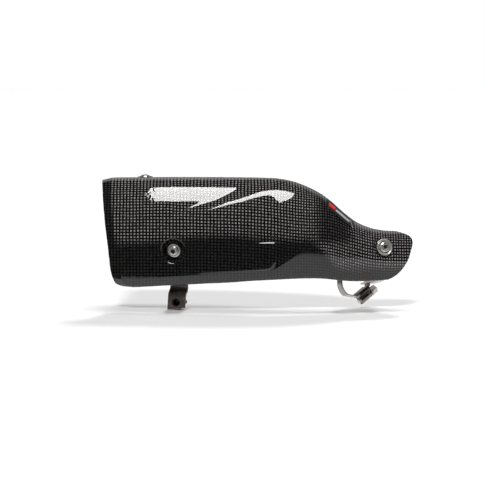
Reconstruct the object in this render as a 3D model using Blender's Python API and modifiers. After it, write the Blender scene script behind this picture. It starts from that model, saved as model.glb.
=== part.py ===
"""Carbon-fibre motorcycle exhaust heat shield with bolts, rubber mounts, brackets and a worm clamp.

Design frame, in millimetres: +X runs from the wide rear end to the narrow front end, +Z is up and
-Y is the outer side, with Y = 0 at the outermost point of the side panel's shoulder. Objects are
placed in metres, with the middle of the whole part's bounding box at the origin.
"""

import math

import bmesh
import bpy
from mathutils import Matrix, Vector

for old in list(bpy.data.objects):
    bpy.data.objects.remove(old, do_unlink=True)

# ---------------------------------------------------------------- shared dimensions (mm)
MM = 0.001
CENTRE = Vector((0.01, 46.82, -3.27))   # middle of the whole part in the design frame
DESIGN_FRAME = Matrix.Identity(4)
DOWN = Vector((0, 0, -1))
GAP = 0.3                               # clearance between pieces that would touch
SHIELD_X0 = -156.0                      # rear edge of the shield
SHIELD_LENGTH = 311.0
WALL = 2.0                              # carbon laminate thickness
# Heights are drafted as seen from 5 degrees above: draft height = Z + Y * TILT
TILT = math.sin(math.radians(5.0))
HOLE_R = 3.3                            # clearance radius round an M6 shank

# ---------------------------------------------------------------- shield tables
# Rows are (station, value), the station being the distance in front of the shield's rear edge.
# Draft heights of the top crest, the bottom hem, the crease above the lower facet, and the
# shoulder where the side panel meets the top roll:
CREST = [
    (0, 66.2), (8, 66.4), (55, 66.8), (96, 66.8), (135, 66.4), (158, 65.9), (167, 65.6),
    (176, 65.1), (184, 63.9), (192, 62.1), (200, 59.4), (208, 56.0), (216, 52.0), (224, 46.9),
    (232, 40.7), (240, 33.4), (248, 26.6), (256, 21.0), (264, 17.2), (272, 14.5), (280, 12.9),
    (288, 12.0), (296, 11.7), (311, 11.6)]
HEM = [
    (0, -45.4), (23, -45.3), (40, -44.8), (64, -43.4), (88, -42.3), (104, -41.4), (128, -40.3),
    (152, -38.5), (176, -37.3), (192, -36.5), (224, -36.5), (232, -37.3), (240, -38.2),
    (280, -38.2), (290, -37.4), (311, -37.4)]
CREASE = [
    (0, -37.6), (24, -37.0), (49, -36.0), (99, -33.0), (159, -29.6), (167, -28.8), (174, -26.6),
    (182, -21.5), (191, -14.5), (199, -8.2), (206, -4.2), (213, -2.9), (226, -3.6), (238, -7.0),
    (254, -11.0), (262, -12.8), (273, -16.6), (297, -18.6), (311, -18.8)]
SHOULDER = [
    (0, 10.5), (99, 10.5), (139, 9.0), (169, 6.4), (189, 3.6), (206, 2.2), (229, 1.0),
    (249, -4.2), (273, -9.8), (297, -11.6), (311, -11.8)]
# Y of the shoulder
SHOULDER_Y = [
    (0, 18.8), (12, 16.6), (40, 12.2), (71, 7.6), (110, 3.2), (150, 0.8), (182, 0.0),
    (215, 1.8), (248, 7.2), (282, 17.6), (300, 25.4), (311, 30.6)]
# Top roll: its depth in +Y, and the degrees it turns through
ROLL_DEPTH = [
    (0, 56), (110, 56), (150, 53), (180, 47), (205, 39), (235, 30), (265, 25), (290, 24),
    (311, 23)]
ROLL_END = [(0, 63), (120, 63), (150, 66), (185, 76), (205, 82), (311, 84)]
# Deck: height of its outer slope, its reach in +Y, and the radius of its rounded part
DECK_RISE = [(0, 3.7), (120, 3.7), (150, 3.0), (185, 2.0), (215, 1.6), (311, 1.2)]
DECK_REACH = [
    (0, 46), (125, 46), (148, 37), (168, 25), (188, 17), (218, 12), (258, 9), (311, 8)]
DECK_RADIUS = [(0, 78), (130, 78), (165, 44), (190, 26), (311, 16)]
# Lower facet: run in +Y per drop, at its top and at its foot
FACET_TOP = [(0, 0.80), (120, 0.72), (165, 0.52), (190, 0.34), (215, 0.27), (311, 0.27)]
FACET_FOOT = [(0, 0.92), (120, 0.86), (165, 0.74), (190, 0.64), (311, 0.60)]
# End outlines: rows are (draft height, X)
REAR_EDGE = [
    (-45.4, -134.0), (-44.5, -138.4), (-43.4, -141.2), (-42.0, -143.0), (-39.5, -144.6),
    (-36.0, -145.9), (-30.0, -147.4), (-18.0, -148.9), (-6.0, -150.1), (6.0, -151.5),
    (18.0, -152.9), (30.0, -153.9), (42.0, -154.9), (54.0, -155.6), (62.0, -156.1),
    (66.2, -156.4)]
FRONT_EDGE = [
    (-37.4, 131.4), (-36.0, 135.4), (-33.5, 139.6), (-30.5, 143.2), (-27.5, 145.8),
    (-24.5, 148.0), (-21.5, 149.9), (-18.5, 151.6), (-12.5, 153.8), (-6.0, 155.4), (0.0, 156.4),
    (3.0, 156.2), (5.5, 155.0), (7.5, 152.6), (9.2, 149.0), (10.6, 144.6), (11.5, 140.6)]
REAR_EDGE_STATION = 6.0         # stations whose sections place the end outlines
FRONT_EDGE_STATION = 304.0
DECK_FALL = math.radians(3.0)   # downward slope of the deck behind its rounded part


def curve_value(table, station):
    """Cubic curve through the rows, with slopes at each row averaged from its neighbours."""
    last = len(table) - 1
    if station <= table[0][0]:
        return float(table[0][1])
    if station >= table[last][0]:
        return float(table[last][1])
    k = 0
    while table[k + 1][0] < station:
        k += 1

    def grade(i):
        return (table[i + 1][1] - table[i][1]) / (table[i + 1][0] - table[i][0])

    def slope(i):
        if i == 0:
            return grade(0)
        if i == last:
            return grade(i - 1)
        before = table[i][0] - table[i - 1][0]
        after = table[i + 1][0] - table[i][0]
        return (grade(i - 1) * after + grade(i) * before) / (before + after)

    span = table[k + 1][0] - table[k][0]
    t = (station - table[k][0]) / span
    return ((2 * t**3 - 3 * t**2 + 1) * table[k][1]
            + (t**3 - 2 * t**2 + t) * span * slope(k)
            + (-2 * t**3 + 3 * t**2) * table[k + 1][1]
            + (t**3 - t**2) * span * slope(k + 1))


def ramp(value, start, length):
    """Smooth step from 0 at start to 1 at start + length."""
    share = min(1.0, max(0.0, (value - start) / length))
    return share * share * (3 - 2 * share)


# ---------------------------------------------------------------- the shield's outer surface
# A place on the surface is (run, zone, share): run goes 0..1 from the rear edge to the front edge
# and share goes 0..1 up or back through the zone.
FACET, PANEL, ROLL, DECK = range(4)     # lower facet, side panel, top roll, deck


def section(station, zone, share):
    """(Y, draft height) of the outer surface at a station."""
    crease = curve_value(CREASE, station)
    shoulder = curve_value(SHOULDER, station)
    shoulder_y = curve_value(SHOULDER_Y, station)
    panel_height = shoulder - crease
    panel_back = 0.10 * panel_height * (panel_height / (panel_height + 8.0))
    if zone == FACET:
        facet_height = crease - curve_value(HEM, station)
        top = curve_value(FACET_TOP, station)
        foot = curve_value(FACET_FOOT, station)
        drop = facet_height * (1 - share)
        y = (shoulder_y + panel_back + top * drop
             + (foot - top) * drop * drop / (2 * facet_height))
        return y, crease - drop
    if zone == PANEL:
        below = 1 - share
        return shoulder_y + panel_back * below * below, shoulder - panel_height * below

    depth = curve_value(ROLL_DEPTH, station)
    end = math.radians(curve_value(ROLL_END, station))
    deck_rise = curve_value(DECK_RISE, station)
    roll_back = depth * (1 - math.cos(end))
    roll_top = curve_value(CREST, station) - deck_rise
    if zone == ROLL:
        height = (roll_top - shoulder - roll_back * TILT) / math.sin(end)
        angle = end * share
        back = depth * (1 - math.cos(angle))
        return shoulder_y + back, shoulder + height * math.sin(angle) + back * TILT

    radius = curve_value(DECK_RADIUS, station)
    start = math.acos(1 - deck_rise / radius)   # drafted slope where the deck begins
    reach = curve_value(DECK_REACH, station) * share
    rounded = radius * (start + DECK_FALL)      # reach of the rounded part
    y = shoulder_y + roll_back + reach
    if reach <= rounded:
        angle = start - reach / radius
        return y, roll_top + radius * (math.cos(angle) - math.cos(start))
    rounded_top = roll_top + radius * (math.cos(DECK_FALL) - math.cos(start))
    return y, rounded_top - (reach - rounded) * math.tan(DECK_FALL)


def rear_edge(zone, share):
    return curve_value(REAR_EDGE, section(REAR_EDGE_STATION, zone, share)[1])


def front_edge(zone, share):
    return curve_value(FRONT_EDGE, section(FRONT_EDGE_STATION, zone, share)[1])


def base_point(run, zone, share):
    """Point of the outer surface without its relief, and its draft height."""
    x = SHIELD_X0 + SHIELD_LENGTH * run
    x += (rear_edge(zone, share) - SHIELD_X0) * (1 - run) ** 3
    x += (front_edge(zone, share) - (SHIELD_X0 + SHIELD_LENGTH)) * run ** 5
    y, draft = section(x - SHIELD_X0, zone, share)
    return Vector((x, y, draft - y * TILT)), draft


LEDGE_HEIGHT = 5.85             # greatest height of the slanted ledge
LEDGE_TOP_ROUND = 0.242         # rounding at the slope's upper end, as a share of its rise
LEDGE_BRINK_ROUND = 0.085       # and at its high, lower end
LEDGE_FADE = 45.6               # drop below the brink over which the ledge dies out
POD_HEIGHT = 1.7                # height of the long pod below the ledge


def relief(x, draft):
    """Height of the pressed features: the slanted ledge and the long pod below it."""
    ahead = x + 60
    brink = 28.4 + 0.237 * ahead + 0.0003 * ahead ** 2      # draft height of the ledge's edge
    rise = max(6.96 + 0.114 * (x + 75), 4.2)                # from the brink up to the slope's end
    steepness = 0.344 + 0.113 * ramp(x, -78, 26)
    height = (min(LEDGE_HEIGHT, steepness * rise)
              * ramp(x, -91.3, 12.4) * (1 - ramp(x, -24.4, 47.1)))
    share = min(max((brink + rise - draft) / rise, -LEDGE_TOP_ROUND), 1 + LEDGE_BRINK_ROUND)
    slope = share
    if share < LEDGE_TOP_ROUND:
        slope = (share + LEDGE_TOP_ROUND) ** 2 / (4 * LEDGE_TOP_ROUND)
    elif share > 1 - LEDGE_BRINK_ROUND:
        slope = 1 - (1 + LEDGE_BRINK_ROUND - share) ** 2 / (4 * LEDGE_BRINK_ROUND)
    ledge = height * slope * (1 - ramp(brink - draft, 0.0, LEDGE_FADE))

    top_width = 7.0 - 4.2 * ramp(x, -30, 40)                # the pod's slopes at top, foot and front
    pod_top = 0.9 + 0.02 * x
    pod_front = 23.5 - 7.5 * ((draft + 8) / 20) ** 2
    top = 1 - ramp(draft, pod_top - top_width, top_width)
    foot = ramp(draft, curve_value(CREASE, x - SHIELD_X0) + 0.8, 2.0)
    front = 1 - ramp(x, pod_front - 6, 6.0)
    return ledge + POD_HEIGHT * ramp(x, -70, 75) * top * foot * front


LIP_LENGTH = 9.5                # length of the rolled-in rear lip


def surface_point(run, zone, share):
    """Outer surface point, with its relief and rear lip, and its outward normal."""
    point, draft = base_point(run, zone, share)
    step = 1e-3
    near_run = run + step if run < 0.5 else run - step
    near_share = share + step if share < 0.5 else share - step
    forward = (base_point(near_run, zone, share)[0] - point) * (1 if near_run > run else -1)
    upward = (base_point(run, zone, near_share)[0] - point) * (1 if near_share > share else -1)
    normal = forward.cross(upward).normalized()
    lip_depth = (1.4 + 2.8 * share, 4.2, 4.2 - 2.2 * share * share, 2.0)[zone]
    lip = max(0.0, 1 - (point.x - rear_edge(zone, share)) / LIP_LENGTH) * lip_depth
    return point + normal * (relief(point.x, draft) - lip), normal


def find_surface(x, draft):
    """Outer surface point and normal below the deck, at x and a draft height."""
    station = x - SHIELD_X0
    if draft < curve_value(CREASE, station):
        zone = FACET
    elif draft < curve_value(SHOULDER, station):
        zone = PANEL
    else:
        zone = ROLL
    run = min(1.0, max(0.0, station / SHIELD_LENGTH))
    for _ in range(8):
        low, high = 0.0, 1.0
        for _ in range(40):
            middle = (low + high) / 2
            if base_point(run, zone, middle)[1] < draft:
                low = middle
            else:
                high = middle
        place = (run, zone, (low + high) / 2)
        run += (x - base_point(*place)[0].x) / SHIELD_LENGTH
    return surface_point(*place)


def deck_point(x, back):
    """Deck point at x, a distance behind (+Y of) the top of the roll."""
    station = x - SHIELD_X0
    y, draft = section(station, DECK, back / curve_value(DECK_REACH, station))
    return Vector((x, y, draft - y * TILT))


# ---------------------------------------------------------------- materials
CARBON = dict(label="carbon", colour=(0.02, 0.02, 0.021), roughness=0.12, metallic=0.0)
STEEL = dict(label="steel", colour=(0.62, 0.60, 0.58), roughness=0.28, metallic=1.0)
TINTED = dict(label="tinted_steel", colour=(0.10, 0.085, 0.08), roughness=0.42, metallic=0.9)
RUBBER = dict(label="rubber", colour=(0.02, 0.02, 0.02), roughness=0.75, metallic=0.0)
BADGE = dict(label="badge", colour=(0.03, 0.03, 0.03), roughness=0.35, metallic=0.0)


def piece_material(piece, label, colour, roughness, metallic):
    made = bpy.data.materials.new(piece + "_" + label)
    made.use_nodes = True
    inputs = made.node_tree.nodes["Principled BSDF"].inputs
    inputs["Base Color"].default_value = (*colour, 1)
    inputs["Roughness"].default_value = roughness
    inputs["Metallic"].default_value = metallic
    return made


# ---------------------------------------------------------------- helpers
parts = bpy.data.collections.new("exhaust_heat_shield")
cutters = bpy.data.collections.new("cutters")
for collection in (parts, cutters):
    bpy.context.scene.collection.children.link(collection)


def to_world(matrix):
    """Object matrix in metres, from one in the design frame."""
    world = matrix.copy()
    world.translation = (world.translation - CENTRE) * MM
    return world


def add_object(name, mesh, matrix, look):
    """Add a piece, or a hidden boolean helper when look is None."""
    obj = bpy.data.objects.new(name, mesh)
    (parts if look else cutters).objects.link(obj)
    obj.matrix_world = to_world(matrix)
    if look:
        mesh.materials.append(piece_material(name, **look))
    else:
        obj.hide_render = True
        obj.display_type = "WIRE"
    return obj


def axes_frame(x, y, z, origin):
    matrix = Matrix((x, y, z)).transposed().to_4x4()
    matrix.translation = origin
    return matrix


def frame_at(origin, out, down):
    """Frame whose +Z is out and whose -Y is as near to down as it can be."""
    z = out.normalized()
    y = -(down - z * down.dot(z)).normalized()
    return axes_frame(y.cross(z), y, z, origin)


def shift(x, y, z):
    return Matrix.Translation((x, y, z))


def turned(name, profile, matrix, look=None, steps=24, closed=False):
    """Turned piece from (radius, height) pairs; a closed profile makes a ring."""
    mesh = bpy.data.meshes.new(name)
    edges = [(i, i + 1) for i in range(len(profile) - 1)]
    if closed:
        edges.append((len(profile) - 1, 0))
    mesh.from_pydata([(radius * MM, 0, z * MM) for radius, z in profile], edges, [])
    obj = add_object(name, mesh, matrix, look)
    screw = obj.modifiers.new("Turn", "SCREW")
    screw.axis = "Z"
    screw.angle = math.tau
    screw.screw_offset = 0
    screw.steps = screw.render_steps = steps
    screw.use_merge_vertices = True
    screw.merge_threshold = 0.00001
    screw.use_smooth_shade = True
    return obj


def outline(name, loops, thickness, matrix, look=None):
    """Flat outline with holes, extruded to a thickness centred on its plane."""
    curve = bpy.data.curves.new(name + "_outline", "CURVE")
    curve.dimensions = "2D"
    curve.fill_mode = "BOTH"
    curve.extrude = thickness / 2 * MM
    for loop in loops:
        spline = curve.splines.new("POLY")
        spline.points.add(len(loop) - 1)
        for point, (x, y) in zip(spline.points, loop):
            point.co = (x * MM, y * MM, 0, 1)
        spline.use_cyclic_u = True
    guide = bpy.data.objects.new(name + "_guide", curve)
    cutters.objects.link(guide)
    bpy.context.view_layer.update()
    evaluated = guide.evaluated_get(bpy.context.evaluated_depsgraph_get())
    mesh = bpy.data.meshes.new_from_object(evaluated)
    bpy.data.objects.remove(guide, do_unlink=True)
    bpy.data.curves.remove(curve)
    mesh.name = name
    # The filled faces and the extruded sides come unjoined
    bm = bmesh.new()
    bm.from_mesh(mesh)
    bmesh.ops.remove_doubles(bm, verts=bm.verts, dist=0.000002)
    bmesh.ops.recalc_face_normals(bm, faces=bm.faces)
    bm.to_mesh(mesh)
    bm.free()
    mesh.materials.clear()
    return add_object(name, mesh, matrix, look)


def sheet(name, columns, rows, place, look, modifier_name, thickness):
    """Grid of columns by rows, its points given by place(i, j) in mm, thickened inward."""
    mesh = bpy.data.meshes.new(name)
    bm = bmesh.new()
    bmesh.ops.create_grid(bm, x_segments=columns, y_segments=rows, size=0.5)
    for vertex in bm.verts:
        i = round((vertex.co.x + 0.5) * columns)
        j = round((vertex.co.y + 0.5) * rows)
        vertex.co = place(i, j) * MM
    bm.to_mesh(mesh)
    bm.free()
    obj = add_object(name, mesh, DESIGN_FRAME, look)
    solid = obj.modifiers.new(modifier_name, "SOLIDIFY")
    solid.thickness = thickness * MM
    solid.offset = -1.0
    return obj


def boolean(obj, cutter, operation="DIFFERENCE"):
    modifier = obj.modifiers.new(operation.title() + "_" + cutter.name, "BOOLEAN")
    modifier.operation = operation
    modifier.object = cutter
    modifier.solver = "EXACT"


def bore(obj, name, matrix, radius, top, bottom, steps=24):
    """Cut a round hole along the matrix's Z axis."""
    profile = [(0, top), (radius, top), (radius, bottom), (0, bottom)]
    boolean(obj, turned(name, profile, matrix, steps=steps))


def circle(radius, count):
    angles = [math.tau * i / count for i in range(count)]
    return [(radius * math.cos(angle), radius * math.sin(angle)) for angle in angles]


def hexagon(across_flats):
    return circle(across_flats / math.sqrt(3), 6)


def rectangle(half_width, bottom, top):
    return [(-half_width, bottom), (half_width, bottom), (half_width, top), (-half_width, top)]


# ---------------------------------------------------------------- fixing frames
# Each frame's origin is the middle of a dish's floor, and its +Z points out of the dish.
REAR_DISH_R, REAR_DISH_DEPTH = 13.3, 5.5
FRONT_DISH_R, FRONT_DISH_DEPTH = 12.0, 3.4
TOP_DISH_R, TOP_DISH_DEPTH = 11.0, 4.2
REAR_LEAN = math.radians(3.6)           # the rear bracket leans to the rear going down


def dish_frame(rim_middle, out, depth, down):
    out = out.normalized()
    return frame_at(rim_middle - out * depth, out, down)


rear_frame = dish_frame(find_surface(-84.0, -8.8)[0], Vector((-0.34, -0.92, -0.18)),
                        REAR_DISH_DEPTH, Vector((-math.sin(REAR_LEAN), 0, -math.cos(REAR_LEAN))))
front_frame = dish_frame(find_surface(127.6, -4.6)[0], Vector((0.38, -0.90, 0.22)),
                         FRONT_DISH_DEPTH, DOWN)
top_frame = dish_frame(deck_point(-113.4, 24.0), Vector((-0.03, -0.06, 1.0)),
                       TOP_DISH_DEPTH, Vector((0, -1, 0)))

# ---------------------------------------------------------------- carbon shell
SHELL_COLUMNS = 44
SHELL_ROWS = (3, 4, 9, 4)               # rows of faces in each zone, facet to deck
MOUNT_HOLE_R = 5.6                      # hole in a dish for its rubber mount
DISH_STEPS = 28


def build_shell():
    rows = [(zone, i / count) for zone, count in enumerate(SHELL_ROWS) for i in range(count)]
    rows.append((DECK, 1.0))

    def place(i, j):
        return surface_point(i / SHELL_COLUMNS, *rows[j])[0]

    shell = sheet("carbon_shell", SHELL_COLUMNS, len(rows) - 1, place, CARBON, "Laminate", WALL)
    shell.modifiers["Laminate"].use_even_offset = True
    return shell


def add_dish(shell, name, matrix, radius, depth):
    """Cut the shell away inside a rim and join a pressed dish with a mount hole to it."""
    bore(shell, name + "_opening", matrix, radius - 1.2, 9, -9, DISH_STEPS)
    rim = depth + 0.25
    profile = [(radius + 0.1, rim), (radius + 0.1, depth - 2.6), (radius - 1.4, 0.0),
               (radius - 2.6, -WALL), (MOUNT_HOLE_R, -WALL), (MOUNT_HOLE_R, 0.0),
               (radius - 3.6, 0.0), (radius - 2.4, 0.9), (radius - 1.3, rim)]
    cup = turned(name + "_cup", profile, matrix, steps=DISH_STEPS, closed=True)
    boolean(shell, cup, "UNION")


carbon_shell = build_shell()
add_dish(carbon_shell, "rear_dish", rear_frame, REAR_DISH_R, REAR_DISH_DEPTH)
add_dish(carbon_shell, "front_dish", front_frame, FRONT_DISH_R, FRONT_DISH_DEPTH)
add_dish(carbon_shell, "top_dish", top_frame, TOP_DISH_R, TOP_DISH_DEPTH)

# ---------------------------------------------------------------- bolts and rubber mounts
SHANK_R = 3.0                           # M6
SHANK_CHAMFER = 0.6
SOCKET_FLATS = 4.2
GROMMET_R, GROMMET_NECK_R, GROMMET_BORE_R = 7.6, 5.3, 4.5
SLEEVE_R, SLEEVE_TOP = 4.2, 1.8
# Bolt heads: (radius, height above the seat) from the top down
FLANGED_HEAD = [(2.9, 3.5), (4.2, 3.0), (5.0, 2.1), (5.3, 1.2), (6.6, 1.0), (6.85, 0.5), (6.6, 0.0)]
BUTTON_HEAD = [(2.8, 3.0), (4.2, 2.5), (5.1, 1.5), (5.4, 0.5), (5.3, 0.0)]
# Rings: (radius, height above the dish floor) round the section
GROMMET = [
    (GROMMET_R, 1.5), (GROMMET_R, GAP), (GROMMET_NECK_R, GAP), (GROMMET_NECK_R, -WALL - GAP),
    (GROMMET_R, -WALL - GAP), (GROMMET_R, -WALL - 1.7), (GROMMET_BORE_R, -WALL - 1.7),
    (GROMMET_BORE_R, 1.5)]
SLEEVE = [(SLEEVE_R, SLEEVE_TOP), (SLEEVE_R, -4.0), (HOLE_R, -4.0), (HOLE_R, SLEEVE_TOP)]
TOP_SPACER = [
    (SLEEVE_R, SLEEVE_TOP), (SLEEVE_R, -7.5), (8.0, -7.5), (8.0, -9.5), (HOLE_R, -9.5),
    (HOLE_R, SLEEVE_TOP)]
CUP_WASHER = [
    (8.0, 4.5), (8.5, 4.2), (8.1, 2.5), (7.4, 2.1), (HOLE_R, 2.1), (HOLE_R, 3.2), (6.2, 3.2),
    (7.1, 3.8)]


def socket_bolt(name, matrix, seat, head, tip):
    """Hex-socket bolt whose head rests at height seat and whose shank ends at height tip."""
    top = seat + head[0][1]
    profile = [(0, top)] + [(radius, seat + z) for radius, z in head]
    profile += [(SHANK_R, seat), (SHANK_R, tip + SHANK_CHAMFER), (SHANK_R - SHANK_CHAMFER, tip),
                (0, tip)]
    bolt = turned(name, profile, matrix, STEEL)
    boolean(bolt, outline(name + "_socket", [hexagon(SOCKET_FLATS)], 3.0,
                          matrix @ shift(0, 0, top)))


for label, frame in (("rear_side", rear_frame), ("front", front_frame), ("top", top_frame)):
    turned(label + "_grommet", GROMMET, frame, RUBBER, closed=True)
for label, frame in (("rear_side", rear_frame), ("front", front_frame)):
    turned(label + "_sleeve", SLEEVE, frame, STEEL, closed=True)
turned("top_spacer", TOP_SPACER, top_frame, STEEL, closed=True)
for label, frame in (("front", front_frame), ("top", top_frame)):
    turned(label + "_cup_washer", CUP_WASHER, frame, STEEL, steps=32, closed=True)
socket_bolt("rear_side_bolt", rear_frame, seat=2.1, head=FLANGED_HEAD, tip=-13.0)
socket_bolt("front_bolt", front_frame, seat=3.5, head=BUTTON_HEAD, tip=-12.4)
socket_bolt("top_bolt", top_frame, seat=3.5, head=BUTTON_HEAD, tip=-22.0)

# ---------------------------------------------------------------- bent brackets
BEND_SAMPLES = 3                        # segments in each bend
PAD_OUT = -4.3                          # outer face of each bracket's pad behind its dish
NUT_FLATS, NUT_LENGTH = 10.0, 5.0


def bent_strip(path, thickness, bend):
    """Outline of a bent strip whose outer face follows the rounded (drop, out) path."""
    corners = [Vector(corner) for corner in path]
    points = [corners[0]]
    for before, here, after in zip(corners, corners[1:], corners[2:]):
        start = here + (before - here).normalized() * bend
        end = here + (after - here).normalized() * bend
        for i in range(BEND_SAMPLES + 1):
            t = i / BEND_SAMPLES
            points.append(start * (1 - t) ** 2 + here * 2 * t * (1 - t) + end * t * t)
    points.append(corners[-1])

    inner = []
    last = len(points) - 1
    for k, point in enumerate(points):
        before = points[max(0, k - 1)]
        after = points[min(last, k + 1)]
        heading = (after - before).normalized()
        mitre = 1.0
        if 0 < k < last:
            turn = (point - before).normalized().angle((after - point).normalized())
            mitre = 1 / max(0.4, math.cos(turn / 2))
        inner.append(point + Vector((-heading.y, heading.x)) * -thickness * mitre)
    return [(point.x, point.y) for point in points + inner[::-1]]


def strip_plane(matrix):
    """Plane of a bent strip's outline: X is down the strip and Y is outward."""
    return matrix @ Matrix(((0, 0, -1, 0), (-1, 0, 0, 0), (0, 1, 0, 0), (0, 0, 0, 1)))


# ---------------------------------------------------------------- rear bracket
REAR_WIDTH = 18.5
REAR_THICK = 2.5
REAR_PATH = [
    (-9.0, PAD_OUT), (31.5, PAD_OUT - 1.4), (42.0, PAD_OUT - 5.4), (47.0, PAD_OUT + 1.6),
    (61.5, PAD_OUT + 4.4)]
TAB_EDGE_SLOPE = 0.17                   # the tab's lower edge runs a little downhill to the rear
TAB_HOLE_DROP = 8.4                     # hole centre, measured down the tab from its upper bend
TAB_HOLE_R = 4.3
TAB_NUT_LENGTH = 9.5                    # closed at its inner end
REAR_NUT_SETBACK = 0.31                 # the sloping strap lies this far in at the bolt


def build_rear_bracket():
    bracket = outline("rear_bracket", [bent_strip(REAR_PATH, REAR_THICK, bend=3.0)], REAR_WIDTH,
                      strip_plane(rear_frame) @ shift(0, 0, -0.45), TINTED)
    tab_top, tab_end = Vector(REAR_PATH[3]), Vector(REAR_PATH[4])
    tab_down = (tab_end - tab_top).normalized()
    for vertex in bracket.data.vertices:
        if vertex.co.x > (tab_end.x - 3.0) * MM:
            vertex.co.x += vertex.co.z * TAB_EDGE_SLOPE * tab_down.x
            vertex.co.y += vertex.co.z * TAB_EDGE_SLOPE * tab_down.y
    bore(bracket, "rear_bolt_hole", rear_frame, HOLE_R, 6, -12)

    hole = tab_top + tab_down * TAB_HOLE_DROP
    turn = rear_frame.to_3x3()
    tab_frame = frame_at(rear_frame @ Vector((0, -hole.x, hole.y)),
                         turn @ Vector((0, tab_down.y, tab_down.x)),
                         turn @ Vector((0, -tab_down.x, tab_down.y)))
    bore(bracket, "rear_tab_hole", tab_frame, TAB_HOLE_R, 6, -6)

    tab_nut = outline("rear_tab_nut", [hexagon(13.0)], TAB_NUT_LENGTH,
                      tab_frame @ shift(0, 0, -REAR_THICK - GAP - TAB_NUT_LENGTH / 2), TINTED)
    thread = [(0, 2), (3.4, 2), (3.4, -9.8), (0, -11.2)]    # blind hole with a conical end
    boolean(tab_nut, turned("rear_tab_thread", thread, tab_frame, steps=18))

    (pad_top, pad_out), (pad_foot, foot_out) = REAR_PATH[:2]
    tilt = math.atan2(pad_out - foot_out, pad_foot - pad_top)
    nut_frame = (rear_frame @ shift(0, 0, PAD_OUT - REAR_NUT_SETBACK)
                 @ Matrix.Rotation(tilt, 4, "X"))
    outline("rear_bracket_nut", [hexagon(NUT_FLATS), circle(HOLE_R + 0.15, 18)], NUT_LENGTH,
            nut_frame @ shift(0, 0, -REAR_THICK - GAP - NUT_LENGTH / 2), TINTED)


build_rear_bracket()

# ---------------------------------------------------------------- front bracket
FRONT_WIDTH = 14.6
FRONT_THICK = 1.8
LEG_DROP, LEG_OUT = 31.7, -19.3         # bend between the leg and the foot
FOOT_REACH = 25.5                       # the foot runs inward from that bend
FRONT_PATH = [
    (-8.0, PAD_OUT), (9.0, PAD_OUT), (LEG_DROP, LEG_OUT), (LEG_DROP, LEG_OUT - FOOT_REACH)]
SLOT_BACK = 16.0                        # slot centre, measured inward from the bend
SLOT_SHIFT = -4.2                       # and to the rear side of the foot's middle

# Slot frame, also the clamp's pivot: origin in the slot, axes parallel to the front frame's
slot_frame = front_frame @ shift(SLOT_SHIFT, -LEG_DROP + FRONT_THICK / 2, LEG_OUT - SLOT_BACK)


def build_front_bracket():
    bracket = outline("front_bracket", [bent_strip(FRONT_PATH, FRONT_THICK, bend=2.4)],
                      FRONT_WIDTH, strip_plane(front_frame), TINTED)
    bore(bracket, "front_bolt_hole", front_frame, HOLE_R, 6, -12)
    outline("front_bracket_nut", [hexagon(NUT_FLATS), circle(HOLE_R, 18)], NUT_LENGTH,
            front_frame @ shift(0, 0, PAD_OUT - FRONT_THICK - GAP - NUT_LENGTH / 2), TINTED)
    slot = outline("front_bracket_slot", [rectangle(1.3, -6.6, 6.6)], 9.0,
                   slot_frame @ Matrix.Rotation(math.radians(90), 4, "X"))
    boolean(bracket, slot)


build_front_bracket()

# ---------------------------------------------------------------- worm-drive clamp
CLAMP_R = 14.9                          # inner radius of the band
# Direction in degrees and distance of the band's flat runs; the first carries the housing
CLAMP_FLATS = ((-56.0, 11.3), (-101.0, 12.9))
BAND_POINTS = 80
BAND_WIDTH = 12.0
BAND_THICK = 0.8
WORM_R = 3.0
WORM_OUT = 5.9                          # screw axis above the band's outer face
HOUSING_R = 4.4
HOUSING_LENGTH = 14.4
HOUSING_AHEAD = 1.3                     # the housing sits this far along the flat run

# Clamp frame: +Z along the band's axis, origin at its centre
clamp_frame = slot_frame @ shift(-CLAMP_R - BAND_THICK / 2, 0, 0)


def band_loop(extra):
    """Round loop with flat runs and eased corners, grown outward by extra."""
    points = []
    for i in range(BAND_POINTS):
        angle = math.tau * i / BAND_POINTS
        radius = CLAMP_R
        for direction, distance in CLAMP_FLATS:
            facing = math.cos(angle - math.radians(direction))
            if facing > 0.2:
                radius = min(radius, distance / facing)
        points.append(Vector((radius * math.cos(angle), radius * math.sin(angle))))
    points = [(points[i - 1] + points[i] * 2 + points[(i + 1) % BAND_POINTS]) / 4
              for i in range(BAND_POINTS)]
    grown = []
    for i, point in enumerate(points):
        heading = (points[(i + 1) % BAND_POINTS] - points[i - 1]).normalized()
        grown.append((point + Vector((heading.y, -heading.x)) * extra)[:])
    return grown


def find_worm_frame():
    """+Z along the screw towards its head, +Y away from the clamp's centre."""
    direction, distance = CLAMP_FLATS[0]
    angle = math.radians(direction)
    along = Vector((-math.sin(angle), math.cos(angle), 0))
    radial = Vector((math.cos(angle), math.sin(angle), 0))
    origin = radial * (distance + BAND_THICK + WORM_OUT) + along * HOUSING_AHEAD
    return clamp_frame @ axes_frame(radial.cross(along), radial, along, origin)


def build_housing(worm_frame):
    """Arched case on a flat base, with a bore for the screw and a passage for the band."""
    case = []
    for i in range(13):
        angle = math.radians(-38 + 256 * i / 12)
        case.append((HOUSING_R * math.cos(angle), HOUSING_R * math.sin(angle)))
    case += [(-3.5, -4.5), (-7.3, -4.5), (-7.3, -8.1), (7.3, -8.1), (7.3, -4.5), (3.5, -4.5)]
    passage = rectangle(BAND_WIDTH / 2 + 0.35, -WORM_OUT - BAND_THICK - 0.4, -WORM_OUT + 0.4)
    outline("clamp_housing", [case, circle(WORM_R + GAP, 24), passage], HOUSING_LENGTH,
            worm_frame, STEEL)


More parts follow.
